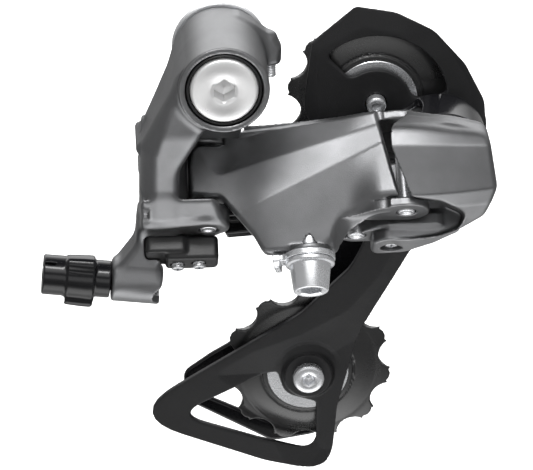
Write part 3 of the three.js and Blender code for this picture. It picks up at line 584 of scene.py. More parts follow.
LIMIT_SCREWS = {"high_limit_screw": (-6, 22.6), "low_limit_screw": (-11.2, 23.4)}


def adjuster_axes(x, y, z):
    """Distance along the cable adjuster, outwards, and the two distances across it."""
    c, s = math.cos(ADJUSTER_TILT), math.sin(ADJUSTER_TILT)
    dx, dy, dz = x - ADJUSTER[0], y - ADJUSTER[1], z - ADJUSTER[2]
    return dz * s - dx * c, dy, dx * s + dz * c


def holder_shape(x, m, p):
    """The block that holds the two limit screws, under the bracket's foot, cut out of the casting to make a
    near-black piece that paints the shade there.
    """
    block = prism(SCREW_BLOCK(x, m), p, -48.2, -42, 1.1)
    return blend(block, prism(HOLDER_WEB(x, m), p, -46.6, -42, 0.8), 1.0)


def bracket(x, y, z):
    m, p = tilted(y, z)
    rho = np.hypot(x, z)
    front, side = ARM_FRONT(x, z), ARM_SIDE(y, z)
    chamfer = (front + side + 0.6 + 3.4 * fade((x + 15.0) / 1.4)) * HALF_ROOT
    arm = common(common(front, side, 1.6), chamfer, 1.6)
    ears = bar(x, m, P1, P2, 5)
    foot = prism(blend(ears, FOOT(x, m), 1.5), p, *BRACKET_LOW_EAR, 1.1)
    top = blend(np.minimum(ears, disc(x, m, P1, 6.2)), TOP_EAR(x, m), 1)
    top = prism(top, p, *BRACKET_TOP_EAR, 0.6)
    wall = prism(np.minimum(WALL_IN_BRACKET(x, m), DIVIDER(x, m)), p, -41.0, -17.2, 0.3)
    wedge = common(prism(WEDGE(x, m), p, BRACKET_LOW_EAR[0], -37.2, 0.9), side + 0.1, 1.4)
    shoulder = prism(SHOULDER(x, m), p, BRACKET_TOP_EAR[0], -13, 1.0)
    t, *across = adjuster_axes(x, y, z)
    r = np.hypot(*across)
    boss = prism(r - 5.2, t, -6, 6, 0.7)
    web = prism(WEB(x, z), y, -17, -7.6, 1.6)
    screw = np.hypot(x - TENSION_SCREW[0], y - TENSION_SCREW[1])
    lump = prism(screw - 2.6 + np.maximum(z - 0.5, 0) * 0.25, z, -2.6, 5.2, 0.8)
    tab = blend(prism(TAB(x, z), y, -7.6, BARREL_BACK, 1.3), lump, 1.2)
    nib = prism(disc(x, z, (-19.4, -18.8), 1.5), y, -19, -5, 0.6)
    body = blend(blend(arm, wedge, 1.2), foot, 1.6)
    body = blend(body, nib, 1.2)
    body = blend(body, blend(blend(top, shoulder, 1), wall, 1), 1)
    body = blend(body, blend(web, boss, 2.2), 2.5)
    barrel = prism(rho - BARREL_R, y, BARREL_FRONT, BARREL_BACK, 0.35)
    body = blend(blend(body, barrel, 3.0), tab, 2.0)
    collar = prism(rho - BARREL_R, y, BARREL_FRONT, -24, 0.35)
    body = np.minimum(cut(body, prism(rho - BARREL_R - 3.0, y, -32, -27.2, 0.3)), collar)
    hollow = blend(disc(x, m, P1, 5.2), disc(x, m, P2, 4.05), 0.1)
    bores = [
        prism(rho - 9.3, y, -30, -25.2, 0.2), rho - 6.7, prism(rho - 9.2, y, -19.5, 0, 0.2),
        np.minimum(disc(x, m, P1, PIN_HOLE_R), disc(x, m, P2, PIN_HOLE_R)),
        prism(hollow, p, BRACKET_LOW_EAR[1], BRACKET_TOP_EAR[0], 0.2),
        np.maximum(r - 2.9, np.abs(t) - 8),
        np.maximum(screw - SCREW_HOLE_R, np.abs(z + 6) - 9.4),
    ]
    bores += [np.maximum(disc(x, m, place, SCREW_HOLE_R), p + 35.2) for place in LIMIT_SCREWS.values()]
    bores.append(holder_shape(x, m, p) - 0.12)
    return cut(body, *bores, k=0.4)


def painted_shade_holder(x, y, z):
    m, p = tilted(y, z)
    holes = [disc(x, m, place, SCREW_HOLE_R) for place in LIMIT_SCREWS.values()]
    return cut(holder_shape(x, m, p), *holes, k=0.3)


cast("bracket_body", bracket, (-28.5, -29.5, -65), (17, 15.5, 13), COARSE, "paint")
# The limit screw holder is near-black resin as painted shade: the block belongs to the bracket casting and is
# dark only from the shade under the foot.
cast("limit_screw_holder", painted_shade_holder, (-20.5, -24.5, -56), (0, -7, -42), FINE, "resin")

# ---- Outer link ----

LINK_FACE, WALL_THICK = -5.5, 3.8
FACE_LEAN = 1.07  # the slope of the wall's facets, which makes a step across it longer
LINK_WALL = Outline([
    (-3.6, -33.7, 0.8), (3.8, -35.1, 3), (11.2, -44.8, 1), (13.4, LINK_BELLY, 2.5), (31, LINK_BELLY, 2),
    (34.6, -44.6, 5), (41.6, -41.9, 6), (48.4, -41.9), (42.8, -16.9), (4.2, -18.6, 1), (4.2, -21.9, 0.5),
    (-2.4, -21.9, 3), (-3.6, -27, 3),
])
UNDERSIDE = Outline([
    (-9, LINK_BELLY), (31, LINK_BELLY, 2), (34.6, -44.6, 5), (41.6, -41.9, 6), (70, -41.9), (70, 0), (-9, 0),
])
LOW_EAR = Outline([(26, -5.5), (LINK_LENGTH, -5.6), (LINK_LENGTH, 5.6), (42, 4.2, 3), (30, 1), (26, 0)])
HIGH_EAR = Outline([(10, -5), (LINK_LENGTH, -4.6), (LINK_LENGTH, 4.6), (40, 4.6, 4), (28, 0), (10, 0)])
BOSS_ARM = Outline([(0, -5.5), (8, -5.5), (8, -1), (0, 4.5)])
BELLY = Outline([(14, -5.5), (31, -5.5), (30.2, 6.6, 2), (18, 6.6, 4), (14.4, -1)])
NEAR, FAR = (0, 0), (LINK_LENGTH, 0)


def ramp(d, k=0.8):
    """0 below d = 0 and d above it, with a soft turn."""
    return np.maximum(d, 0) + np.maximum(k - np.abs(d), 0) ** 2 / (4 * k)


def outer_link(x, y, z):
    m, p = tilted(y, z)
    u, v = in_link(x, m, P1)
    shelf = -plane(u, p, (5.2, -29.7), (41.7, -21.5))
    shelf = common(shelf, -plane(u, p, (-0.6, -23), (2.6, -30)), 3.0)
    upper = np.minimum(ramp(-shelf, 0.5), 8)
    lower = ramp(-plane(u, p, (8.4, -40.0), (42.4, -25.6)), 0.35)
    nod = 0.16 * (-26 - p) * fade((u - 11) / 2.5)
    face = LINK_FACE + nod + (0.36 - 0.004 * u) * upper + 0.29 * lower + 0.001 * lower**2
    toe = np.clip((u - 34) / 9.5, 0, 1)
    face = face - np.maximum(face + 5.3, 0) * toe**2 * (3 - 2 * toe)
    outer, inner = (face - v) / FACE_LEAN, (v - face - WALL_THICK) / FACE_LEAN
    edge = LINK_WALL(u, p)
    inner = np.maximum(inner, np.minimum(v + 4.1, u - 44.2))
    wall = common(common(edge, outer, 0.9), inner, 0.6)
    wall = common(wall, (edge + outer + 0.5) * HALF_ROOT, 0.4)
    wall = common(wall, (UNDERSIDE(u, p) + outer + 3.6 * fade((29 - u) / 1.1)) * HALF_ROOT, 0.7)
    low = prism(blend(LOW_EAR(u, v), disc(u, v, FAR, 5.6), 0.1), p, *LINK_LOW_EAR, 0.45)
    high = prism(blend(HIGH_EAR(u, v), disc(u, v, FAR, 4.6), 0.1), p, *LINK_TOP_EAR, 0.5)
    arm = prism(BOSS_ARM(u, v), p, *LINK_BOSS, 0.5)
    boss = prism(disc(u, v, NEAR, 4.5), p, *LINK_BOSS, 0.4)
    belly = common(prism(BELLY(u, v), p, LINK_BELLY, -45.4, 0.6), outer + 1.0, 0.8)
    pad = prism(disc(u, v, (ANCHOR_U, ANCHOR_V), 5.0), p, ANCHOR_P + 0.3, -48.6, 0.3)
    by_wall = 7.0 * fade((u - 46.0) / 0.4) - 6.1
    low, high = np.maximum(low, outer + by_wall), np.maximum(high, outer + by_wall)
    body = blend(blend(wall, low, 0.8), blend(high, common(arm, outer + 0.9, 0.5), 0.8), 0.8)
    body = blend(blend(body, common(boss, outer + 0.9, 0.5), 0.8), blend(belly, pad, 0.6), 1.2)
    holes = [
        disc(u, v, NEAR, PIN_HOLE_R), disc(u, v, FAR, PIN_HOLE_R),
        prism(disc(u, v, FAR, 4.1), p, LINK_LOW_EAR[1], LINK_TOP_EAR[0], 0.2),
        np.maximum(disc(u, v, (ANCHOR_U, ANCHOR_V), 2.62), p + 42),
        np.maximum(disc(u, v, NEAR, 6.6), -21.75 - p),
    ]
    return cut(body, *holes, k=0.4)


def off_link(pin, u, v):
    """The x and m of a place on a link."""
    c, s = math.cos(LINK_ANGLE), math.sin(LINK_ANGLE)
    return pin[0] + u * c - v * s, pin[1] + u * s + v * c


def corner_box(pin, us, vs, ps):
    """The row-frame box round a box of link coordinates."""
    spots = []
    for u, v, p in itertools.product(us, vs, ps):
        x, m = off_link(pin, u, v)
        spots.append((x, (m + p) * HALF_ROOT, (p - m) * HALF_ROOT))
    return np.min(spots, 0), np.max(spots, 0)


cast("outer_link", outer_link, *corner_box(P1, (-6, 55), (-8, 8), (-51, -16)), COARSE, "paint")


def inner_link(x, y, z):
    m, p = tilted(y, z)
    u, v = in_link(x, m, P2)
    body = prism(bar(u, v, NEAR, FAR, 3.6), p, -35.9, -25.9, 0.6)
    skirt = prism(np.maximum(np.abs(u - 29) - 13, np.abs(v - 1.8) - 1.8), p, -39.2, -34.9, 0.5)
    foot = prism(disc(u, v, FAR, 3.6), p, -39.2, -34.9, 0.5)
    pocket = prism(np.maximum(np.abs(u - 24) - 17, v - 1.2), p, -34.3, -27.5, 0.6)
    pins = np.minimum(disc(u, v, NEAR, PIN_HOLE_R), disc(u, v, FAR, PIN_HOLE_R))
    return cut(blend(blend(body, skirt, 0.8), foot, 0.8), pocket, pins)


cast("inner_link", inner_link, *corner_box(P2, (-5, 53), (-5, 5), (-40, -25)), FINE, "gloss_black")

# ---- Knuckle ----

NOSE_FACE = Outline([
    (38.4, -10, 1.5), (57, -11.4, 6), (64, -16.4, 5), (65.8, -28, 6), (63.2, -36.6, 4), (55.6, -42.6, 8),
    (45, -46.8, 1), (43.4, -46.8, 1), (41.4, -27, 3), (38.4, -14, 2),
])
NOSE_SIDE = Outline([
    (-13.8, -12.3), (-15.5, -12.9, 1), (-21, -13.1, 5), (-24.8, -16.6, 3), (-29.4, -27.6, 1.2),
    (-28.4, -32, 4), (-20.6, -43.8, 2), (-16, -47), (-8, -46), (-13.8, -30),
])
LUG = Outline([(P3[0], P3[1] - 2.6), (52, 0), (54, 12), (P3[0], P3[1] + 4.8)])
FORK_R = 4.4
FORK_NEAR, FORK_FAR = (P4[0] + 1, P4[1] - FORK_R), (P4[0], P4[1] + FORK_R)
FORK_TOP = Outline([FORK_NEAR, (P3[0] - 1, P3[1] + 3), (54, 8), (50, 19, 3), FORK_FAR])
FORK_BASE = Outline([FORK_NEAR, (40, 13.6), (53, 13.6), (53, 24, 6), FORK_FAR])
CHEEK = Outline([(38.6, 15.5), (52, 13.6), (52, 18.4, 2), (40.5, 24, 1)])
RIM = Outline([
    (36.2, 16.2, 3), (41, 13, 2), (50, 9, 4), (56.5, 5, 2), (57, 9.6, 4), (51.5, 15.9, 8), (45, 24, 5),
    (36, 25.2, 3),
])
EYE = Outline([
    (36, -40.2), (46, -40.6, 2), (52, -41.6, 3), (58.4, -44.8, 2), (57, -48.4, 3), (52, -50.2, 3),
    (46, -51, 2), (36, -51.6),
])
SWEPT_EARS = Outline([
    (P3[0] + 3.2, P3[1] + 4.2), (P3[0] - 12, P3[1] + 8), (P3[0] - 22, P3[1] - 4), (P3[0] - 14, P3[1] - 16),
    (P3[0] + 4.4, P3[1] - 4.6),
])
SET_SCREW = (41, 20.4)
SLEEVE_FRONT = -13.8
EYE_SLOPE = 0.3475
FULL_SWING = math.radians(44)


def swept_by_wall(x, m, p):
    """Inside the space that the outer link's wall reaches at full swing, seen from the knuckle."""
    c, s = math.cos(FULL_SWING), math.sin(FULL_SWING)
    dx, dm = x - P3[0], m - P3[1]
    u, v = dx * c + dm * s, dm * c - dx * s
    end = -0.226 * (p + 39.9) - 0.5
    flat = common(LINK_FACE - 0.5 - v, u - end - 0.6, 0.1)
    turn = np.hypot(dx, dm) - np.hypot(end, LINK_FACE) - 0.5
    return np.minimum(flat, np.maximum(turn, dx))


def knuckle(x, y, z):
    m, p = tilted(y, z)
    squeeze = 1 + 0.0006 * np.maximum(x - 45, 0) ** 2
    high = np.clip((z + 27.6) / 14.7, 0, 1) ** 4
    sunk = z + 0.017 * np.maximum(x - 43, 0) ** 2 * high
    side = NOSE_SIDE(SLEEVE_FRONT + (y - SLEEVE_FRONT) * squeeze, sunk)
    nose = np.maximum(common(NOSE_FACE(x, z), side * 0.75, 1.4), y - SLEEVE_FRONT)
    rho = disc(x, z, CAGE, 0)
    barrel = prism(rho - 11.3, y, -18, SLEEVE_FRONT, 0.4)
    barrel = np.minimum(barrel, prism(rho - 10.2, y, -15, -0.9, 0.4))
    lug = prism(np.minimum(disc(x, m, P3, 3.6), LUG(x, m)), p, -39.3, -19.6, 0.5)
    fork = disc(x, m, P4, FORK_R)
    top = prism(np.minimum(fork, FORK_TOP(x, m)), p, -25.6, -23.5, 0.4)
    base = prism(np.minimum(fork, FORK_BASE(x, m)), p, -42.8, -39.6, 0.5)
    cheek = prism(CHEEK(x, m), p, -42.8, -23.5, 0.6)
    rim = prism(RIM(x, m), p, -46.2, -43.2, 0.8)
    stop = np.maximum(np.abs(x - STOP_PIN[0] + 2.75) - 1.25, np.abs(z - STOP_PIN[1]) - 1.5)
    stop = prism(stop, y, -14.8, -0.9, 0.3)
    eye = common(EYE(x, p - EYE_SLOPE * m), m - 14.0, 0.8)
    body = cut(blend(blend(nose, barrel, 1.5), rim, 2.5), eye, k=0.6)
    body = blend(blend(body, blend(lug, top, 1), 1), blend(base, cheek, 1), 1.2)
    body = blend(body, stop, 0.6)
    sweeps = [
        prism(np.minimum(disc(x, m, P3, 6.1), SWEPT_EARS(x, m)), p, -42.2, -39.3, 0.1),
        prism(np.minimum(disc(x, m, P3, 5.1), SWEPT_EARS(x, m)), p, -19.6, -4, 0.1),
        swept_by_wall(x, m, p),
        prism(disc(x, m, P4, 4.2), p, -39.6, -25.6, 0.1),
    ]
    pins = np.minimum(disc(x, m, P3, PIN_HOLE_R), disc(x, m, P4, PIN_HOLE_R))
    holes = [
        np.maximum(pins, np.abs(p + 26.5) - 16.5),
        np.maximum(disc(x, m, SET_SCREW, SCREW_HOLE_R), p + 38),
        prism(disc(x, m, SET_SCREW, 2.6), p, -49, -44.6, 0.4),
        prism(rho - 5.5, y, -22.4, 1, 0.2), prism(rho - 7.9, y, -12.6, 1, 0.2),
    ]
    return cut(body, *sweeps, *holes, k=0.4)


cast("knuckle_body", knuckle, (27.5, -31.5, -51), (66.5, 1, -7), COARSE, "paint")

SLEEVE_NOTCH = Outline([
    (P3[0] + 3.4, P3[1] + 4), (P3[0] - 12, P3[1] + 5), (P3[0] - 12, P3[1] - 16), (P3[0] + 4, P3[1] - 4),
])
SLEEVE_SIDE = Outline([(36, -14), (51, -14), (54.6, 28), (36, 28)])


def sleeve(x, y, z):
    m, p = tilted(y, z)
    rho = disc(x, z, CAGE, 0)
    ring = common(prism(rho - 11.9, y, -13.6, -0.6, 0.7), 10.5 - rho, 0.3)
    notch = np.minimum(disc(x, m, P3, 5.2), SLEEVE_NOTCH(x, m))
    beside = np.maximum(SLEEVE_SIDE(x, m), p + 19.3)
    return cut(ring, notch, beside, k=0.3)


cast("knuckle_sleeve", sleeve, (41, -14.5, -38.5), (66.5, 0.5, -12.8), FINE, "gloss_black")

# ---- Chain cage ----

LOWER_ARM = Outline([
    (49.1, -56.6, 4), (35.2, -81.6, 40), (29.8, -103, 16), (28.3, -122, 7.4), (11.2, -117.8, 30),
    (-24.5, -103.9, 7.9), (20.4, -75.7, 18), (32.8, -63, 14), (42, -45), (50, -44),
])
NECK = Outline([
    (36.4, -58.5), (39.6, -44), (42.2, -36, 6), (44, -24), (64.6, -24), (62.5, -36, 12), (48.4, -57.6),
])
LOBE = Outline([
    (22.9, -1.6, 1.2), (33.4, 7.4, 2), (43.4, 5.6, 9), (52.8, 0.6, 9), (60.6, -8.4, 9), (65.6, -18.4, 8),
    (66.3, -29, 6), (56, -38, 6), (30, -33, 10), (20.5, -20, 10),
])
TRIANGLE = Outline([
    (-11.5, -103.9, 3.8), (3.6, -96.3, 10), (10.6, -93.0, 4), (14.4, -92.6, 1), (16.4, -99, 5),
    (24.4, -101.6, 1), (24.4, -115.6, 4), (9.2, -111.1, 20),
])
FACET = Outline([
    (45.6, -44, 2), (44.4, -57, 8), (39.9, -65.6, 12), (32, -75.2, 10), (20.4, -81.6, 10), (8, -86.2, 6),
    (-2, -92.6, 2), (6, -98), (20, -125), (60, -125), (75, -60), (60, -40),
])
LOBE_FLOOR = Outline([
    (24, -4, 2), (35.4, 2.3, 2), (44.6, 0.2, 6), (52, -7, 8), (56.6, -15, 4), (58, -24, 4), (48, -34, 4),
    (24, -30, 4),
])
BOLT_HOLE_R = 2.7


def sector(x, z, inner, outer, start, end):
    """A ring sector about the guide pulley, with rounded corners."""
    dx, dz = x - GUIDE[0], z - GUIDE[1]
    rho = np.hypot(dx, dz)
    ring = np.maximum(inner - rho, rho - outer)
    first = dx * math.sin(start) - dz * math.cos(start)
    last = dz * math.cos(end) - dx * math.sin(end)
    return common(ring, common(first, last, 0.1), 2.5)


def bolt_holes(x, z, radius):
    return np.minimum(disc(x, z, GUIDE, radius), disc(x, z, TENSION, radius))


def outer_plate(x, y, z):
    flat = blend(blend(LOWER_ARM(x, z), NECK(x, z), 2), LOBE(x, z), 3)
    front, back = OUTER_PLATE
    facet = ramp(-FACET(x, z), 0.3) * (0.12 + 0.08 * fade((-72 - z) / 6))
    band = ramp(LOBE_FLOOR(x, z), 0.5) * 0.22 * fade((-26 - z) / 1.5)
    boss = disc(x, z, TENSION, 6.1)
    dimple = np.clip(1 - np.abs(disc(x, z, (TENSION[0], TENSION[1] + 1.2), 7.4)) / 1.2, 0, 1) * 0.35
    dimple = dimple * fade((TENSION[1] + 3 - z) / 1.2)
    lift = (np.minimum(facet + band, 1.15) + dimple) * fade((0.4 - boss) / 0.15)
    body = np.maximum(prism(flat, y, front, back, 0.35), front + lift - y)
    body = cut(body, sector(x, z, 8.8, 17.8, 0.1, 2.35), TRIANGLE(x, z), k=0.5)
    body = np.minimum(body, prism(boss, y, front - 0.35, back, 0.4))
    holes = [bolt_holes(x, z, BOLT_HOLE_R), disc(x, z, CAGE, 3.7), disc(x, z, STOP_PIN, 1.1)]
    return cut(body, *holes, k=0.2)


cast("outer_cage_plate", outer_plate, (-18, 2.2, -122), (67.5, 5.8, 8), FINE, "plate_black")

STRIP = Outline([
    (30.6, -18), (31, -54, 6), (27, -73.8, 8), (-2, -91.4, 4), (-9.4, -96.8, 4), (-8.4, -105, 4),
    (13.7, -117.6, 6), (29, -115, 9), (33, -94, 6), (45, -60, 8), (47.2, -18),
])
WINDOW = Outline([
    (-4.4, -100.2, 2), (6, -94.4, 3), (14.2, -93.4, 1), (16.2, -99.4, 5), (22, -102, 1), (21.4, -111.4, 4),
    (13, -111.8, 3), (-3.6, -103.6, 1.6),
])


def inner_plate(x, y, z):
    flat = blend(STRIP(x, z), disc(x, z, GUIDE, 9.4), 1.5)
    body = prism(flat, y, *INNER_PLATE, 0.7)
    return cut(body, WINDOW(x, z), bolt_holes(x, z, BOLT_HOLE_R), k=0.9)


cast("inner_cage_plate", inner_plate, (-12, 12.4, -120), (49.5, 15.2, -7), FINE, "gloss_black")

# ---- Pulleys ----

TEETH = 11
PITCH_R = 12.7 / 2 / math.sin(math.pi / TEETH)
TIP_R, TIP_ANGLES = 21.6, (-0.082, -0.03, 0.03, 0.082)
ROLLER_R, VALLEY_ANGLE = 4.1, 1.25
PULLEY_REACH = 22.4


def teeth():
    """The outline of an eleven-tooth pulley, its first tooth along +u."""
    points = []
    step = 2 * math.pi / TEETH
    for i in range(TEETH):
        tooth, valley = i * step, (i + 0.5) * step
        for side in TIP_ANGLES:
            radius = TIP_R - 14 * max(0, abs(side) - 0.04)
            points.append((radius * math.cos(tooth + side), radius * math.sin(tooth + side)))
        for turn in np.linspace(VALLEY_ANGLE, -VALLEY_ANGLE, 9):
            angle = valley + math.pi + turn
            points.append((PITCH_R * math.cos(valley) + ROLLER_R * math.cos(angle),
                           PITCH_R * math.sin(valley) + ROLLER_R * math.sin(angle)))
    return np.array(points)


TOOTHED = Outline(None, teeth(), 2)


def pulley(centre, phase):
    """The field of a pulley, with its first tooth turned by the phase."""
    c, s = math.cos(phase), math.sin(phase)

    def field(x, y, z):
        dx, dz = x - centre[0], z - centre[1]
        rho, away = np.hypot(dx, dz), np.abs(y - CHAIN_Y)
        flat = TOOTHED(dx * c + dz * s, dz * c - dx * s)
        thin = (away - 1.2 + 0.3 * (rho - 18.6)) * 0.95
        taper = common(prism(flat, y, CHAIN_Y - 1.2, CHAIN_Y + 1.2, 0.25), thin, 0.3)
        hub = prism(rho - 11.4, y, CHAIN_Y - 2.9, CHAIN_Y + 2.9, 0.3)
        dome = 3.1 - 0.0264 * np.maximum(rho - 9, 0) ** 2
        dish = common(rho - 17.6, away - dome, 0.8) * 0.93
        body = blend(blend(taper, hub, 0.6), dish, 0.5)
        groove = prism(np.abs(rho - 11.8) - 0.22, away, 2.7, 4, 0.1)
        return cut(body, rho - 5.6, groove, k=0.3)

    return field


for wheel, centre, phase in (("guide", GUIDE, GUIDE_PHASE), ("tension", TENSION, TENSION_PHASE)):
    low, high = [(centre[0] + r, y, centre[1] + r) for r, y in ((-PULLEY_REACH, 5.6), (PULLEY_REACH, 12.4))]
    cast(wheel + "_pulley", pulley(centre, phase), low, high, FINE, "pulley_resin")
    place = along_y(*centre)
    tube(wheel + "_pulley_bush", 2.7, 5.3, 5.9, 12.1, place, "bronze")
    for side, name in ((-1, "_pulley_outer_cap"), (1, "_pulley_inner_cap")):
        low, high = sorted((CHAIN_Y + side * 3.3, CHAIN_Y + side * 3.75))
        tube(wheel + name, 2.7, 10.4, low, high, place, "steel", bevel=0.12)

# ---- Cable adjuster and anchor ----


def adjuster(x, y, z):
    t, dy, side = adjuster_axes(x, y, z)
    r = np.hypot(dy, side)
    turn = np.arctan2(side, dy)
    shaft = prism(r - 2.55 + 0.12 * np.cos(2 * math.pi * t / 0.8 + turn), t, -4.6, 7, 0.3)
    neck = prism(r - 4.6, t, 6.4, 10.6, 0.5)
    grip = prism(r - 5.55 + 0.05 * np.maximum(t - 12, 0), t, 10.4, 17.4, 0.7)
    fold = (turn + math.pi / 3) % (2 * math.pi / 3) - math.pi / 3
    wing = np.hypot(r * np.cos(fold) - 5.5, r * np.sin(fold)) - 1.75 + 0.06 * np.maximum(t - 13, 0)
    grip = blend(grip, prism(wing, t, 10.4, 17.6, 0.8), 1.0)
    tail = prism(r - 4.95, t, 16, 23.1, 0.5)
    waist = prism(np.abs(r - 5.9) - 0.7, t, 17.3, 18.0, 0.3)
    body = blend(blend(blend(shaft, neck, 0.3), grip, 0.4), tail, 0.5)
    slits = prism(np.maximum(np.abs(r * np.sin(fold)) - 0.35, 2.6 - r * np.cos(fold)), t, 20, 24, 0.1)
    return cut(body, waist, prism(r - 2.7, t, 14, 25, 0.2), np.maximum(r - 1.2, -t - 6), slits, k=0.3)


cast("cable_adjuster", adjuster, (-45.5, -20.5, -65), (-15, -5.5, -48.5), SMALL, "gloss_black")


def washer(x, y, z):
    m, p = tilted(y, z)
    u, v = in_link(x, m, P1)
    u, v, p = u - ANCHOR_U, v - ANCHOR_V, p - ANCHOR_P
    plate = prism(disc(u, v, (0, 0), 6.2), p, -1.5, 0, 0.3)
    tab = prism(np.maximum(np.abs(u + 5.6) - 3, np.abs(v) - 2.3), p, -1.5, 0, 0.35)
    bend = prism(np.maximum(np.abs(u + 7.9) - 0.75, np.abs(v) - 2.3), p, -3.2, 0, 0.35)
    groove = np.maximum(np.hypot(v - 4.0, p) - 0.75, -9 - u)
    return cut(blend(blend(plate, tab, 0.8), bend, 0.6), groove, np.hypot(u, v) - 2.8, k=0.2)


cast("cable_anchor_washer", washer, *corner_box(P1, (14.5, 31.5), (-6, 9), (-54, -49)), SMALL, "steel")

rows = [
    (0, -54.2), (2.9, -54.8, hexagon), (2.9, -59.2, hexagon), (3.3, -59.6), (4.0, -59.6), (4.3, -59.2),
    (5.0, -53.1), (6.0, -52.8), (6.0, -51.8), (2.5, -51.8), (2.5, -42.2), (0, -42.2),
]
lathe("cable_anchor_bolt", rows, along_p(*off_link(P1, ANCHOR_U, ANCHOR_V)), "steel")

# ---- Hanger bolt group ----

HEX_5 = 5 / math.sqrt(3)
rows = [
    (0, -22.4), (HEX_5, -23.6, hexagon), (HEX_5, -28.0, hexagon), (3.3, -28.5), (7.5, -28.5), (8.1, -27.9),
    (8.1, -25.8), (5.2, -25.8), (5.2, -1.1), (4.5, -1.1), (4.5, -0.2),
] + thread(4.9, 0, 8.2, 1.0, 0.55) + [(4.1, 9), (0, 9)]
lathe("mounting_bolt", rows, along_y(), "turned", segments=72)


def stopper(x, y, z):
    rho = np.hypot(x, z)
    lug = np.maximum(np.abs(x - 5) - 2.5, np.abs(z + 11.1) - 3.1)
    body = prism(blend(rho - 11.6, lug, 1.0), y, -2, 0, 0.3)
    return cut(body, rho - 5.5, prism(rho - 8, y, -1.3, 1, 0.1), k=0.2)


cast("stopper_plate", stopper, (-12.5, -2.7, -15), (12.5, 0.7, 12.5), FINE, "steel")


def snap_ring(x, y, z):
    rho = np.hypot(x, z)
    ring = prism(np.abs(rho - 6.1) - 1.3, y, -1.0, -0.25, 0.15)
    return cut(ring, np.maximum(np.abs(x) - 1.4, z), k=0.2)


cast("snap_ring", snap_ring, (-8, -1.4, -8), (8, 0.2, 8), SMALL, "spring_steel")

place = along_y()
tube("bracket_seal_ring", 8.4, 9.0, -27.8, -25.6, place, "resin", segments=72)
tube("bracket_front_bush", 5.5, 6.4, -25, -19.8, place, "resin")
tube("bracket_rear_bush", 5.5, 6.4, -6.6, -2.4, place, "resin")
coil("bracket_spring", 7.9, 0.8, -19, -3.4, 7, place, "spring_steel")

# ---- Pins, screws and springs ----

PINS = {
    "outer_link_bracket_pin": (P1, -42.0, -16.9),
    "inner_link_bracket_pin": (P2, -42.0, -16.9),
    "outer_link_knuckle_pin": (P3, -42.0, -16.9),
    "inner_link_knuckle_pin": (P4, -42.9, -23.5),
}
for node, (pin, low, high) in PINS.items():
    rows = [
        (0, low + 0.5), (1.0, low + 0.42), (1.35, low), (1.8, low), (PIN_R, low + 0.3), (PIN_R, high - 0.3),
        (1.8, high), (0, high),
    ]
    lathe(node, rows, along_p(*pin), "steel", segments=40, bevel=0.08)


def set_screw(node, low, high, place):
    """A threaded screw with a cross recess in its lower end."""
    rows = [
        (0, low + 1.5), (1.0, low + 1.2, cross), (1.05, low, cross), (1.3, low), (1.5, low + 0.25),
    ] + thread(1.5, low + 0.3, high - 0.4, 0.6, 0.24) + [(1.2, high), (0, high)]
    lathe(node, rows, place, "steel", segments=32, bevel=0.06)


for node, spot in LIMIT_SCREWS.items():
    set_screw(node, -49.4, -35.6, along_p(*spot))
set_screw("knuckle_set_screw", -45.6, -40, along_p(*SET_SCREW))
place = Matrix.Translation((TENSION_SCREW[0] * MM, TENSION_SCREW[1] * MM, 0))
set_screw("b_tension_screw", -6.3, 3.0, place)

across = math.atan2(P4[1] - P1[1], P4[0] - P1[0])
spring_place = TILT @ Matrix.Translation((P1[0] * MM, P1[1] * MM, -30.5 * MM))
spring_place = spring_place @ Matrix.Rotation(across, 4, "Z") @ Matrix.Rotation(math.pi / 2, 4, "Y")
coil("return_spring", 2.3, 0.5, 7.5, 27.5, 12, spring_place, "spring_steel")

place = along_y(*CAGE)
tube("cage_front_bush", 4.5, 5.2, -21.8, -13, place, "resin")
coil("cage_spring", 6.5, 0.7, -12.2, -1.4, 6, place, "spring_steel")
rows = [(0, -22), (4.2, -22), (4.2, -0.4), (9.6, -0.4), (9.6, 3), (3.4, 3), (3.4, 5.3), (0, 5.3)]
lathe("cage_axle", rows, place, "steel")
rows = [(0, -3), (1.2, -3), (1.2, 3), (0.8, 3), (0.8, 5), (0, 5)]
lathe("cage_stop_pin", rows, along_y(*STOP_PIN), "steel", segments=32)
rows = [
    (0, 2.4), (1.3, 2.0, hexagon), (1.3, 1.0, hexagon), (1.9, 1.0), (2.4, 1.4), (2.4, 15), (4, 15), (4, 16.6),
    (3.4, 17.2), (1.8, 17.2, hexagon), (1.8, 15.6, hexagon), (0, 15.2),
]
lathe("guide_pulley_bolt", rows, along_y(*GUIDE), "steel", segments=48)
rows = [
    (0, 2.9), (0.9, 2.6, hexagon), (1.45, 2.2, hexagon), (1.75, 0.95, hexagon), (2.0, 0.75), (3.5, 0.8),
    (3.95, 1.25), (3.95, 3.0), (2.4, 3.0),
    (2.4, 15.6), (2.0, 16), (0, 16),
]
lathe("tension_pulley_bolt", rows, along_y(*TENSION), "steel", segments=60)

# ---- Floor, light and camera ----

FLOOR_Z, FLOOR_HALF = -0.24, 4.0
floor_mesh = bpy.data.meshes.new("floor")
corners = [(-1, -1), (1, -1), (1, 1), (-1, 1)]
spots = [(x * FLOOR_HALF, y * FLOOR_HALF, FLOOR_Z) for x, y in corners]
floor_mesh.from_pydata(spots, [], [(0, 1, 2, 3)])
floor_material = bpy.data.materials.new("pale_floor")
floor_material.use_nodes = True
shader = floor_material.node_tree.nodes["Principled BSDF"]
shader.inputs["Base Color"].default_value = (0.9, 0.9, 0.9, 1)
shader.inputs["Roughness"].default_value = 0.9
floor_mesh.materials.append(floor_material)
floor = bpy.data.objects.new("floor", floor_mesh)
bpy.context.scene.collection.objects.link(floor)
floor.visible_glossy = False

TARGET = Vector((0.01146, 0.0, -0.0516))


def toward(azimuth, elevation):
    """The direction from the object at an azimuth, 0 in front, and an elevation, in degrees."""
    a, e = math.radians(azimuth), math.radians(elevation)
    return Vector((math.sin(a) * math.cos(e), -math.cos(a) * math.cos(e), math.sin(e)))


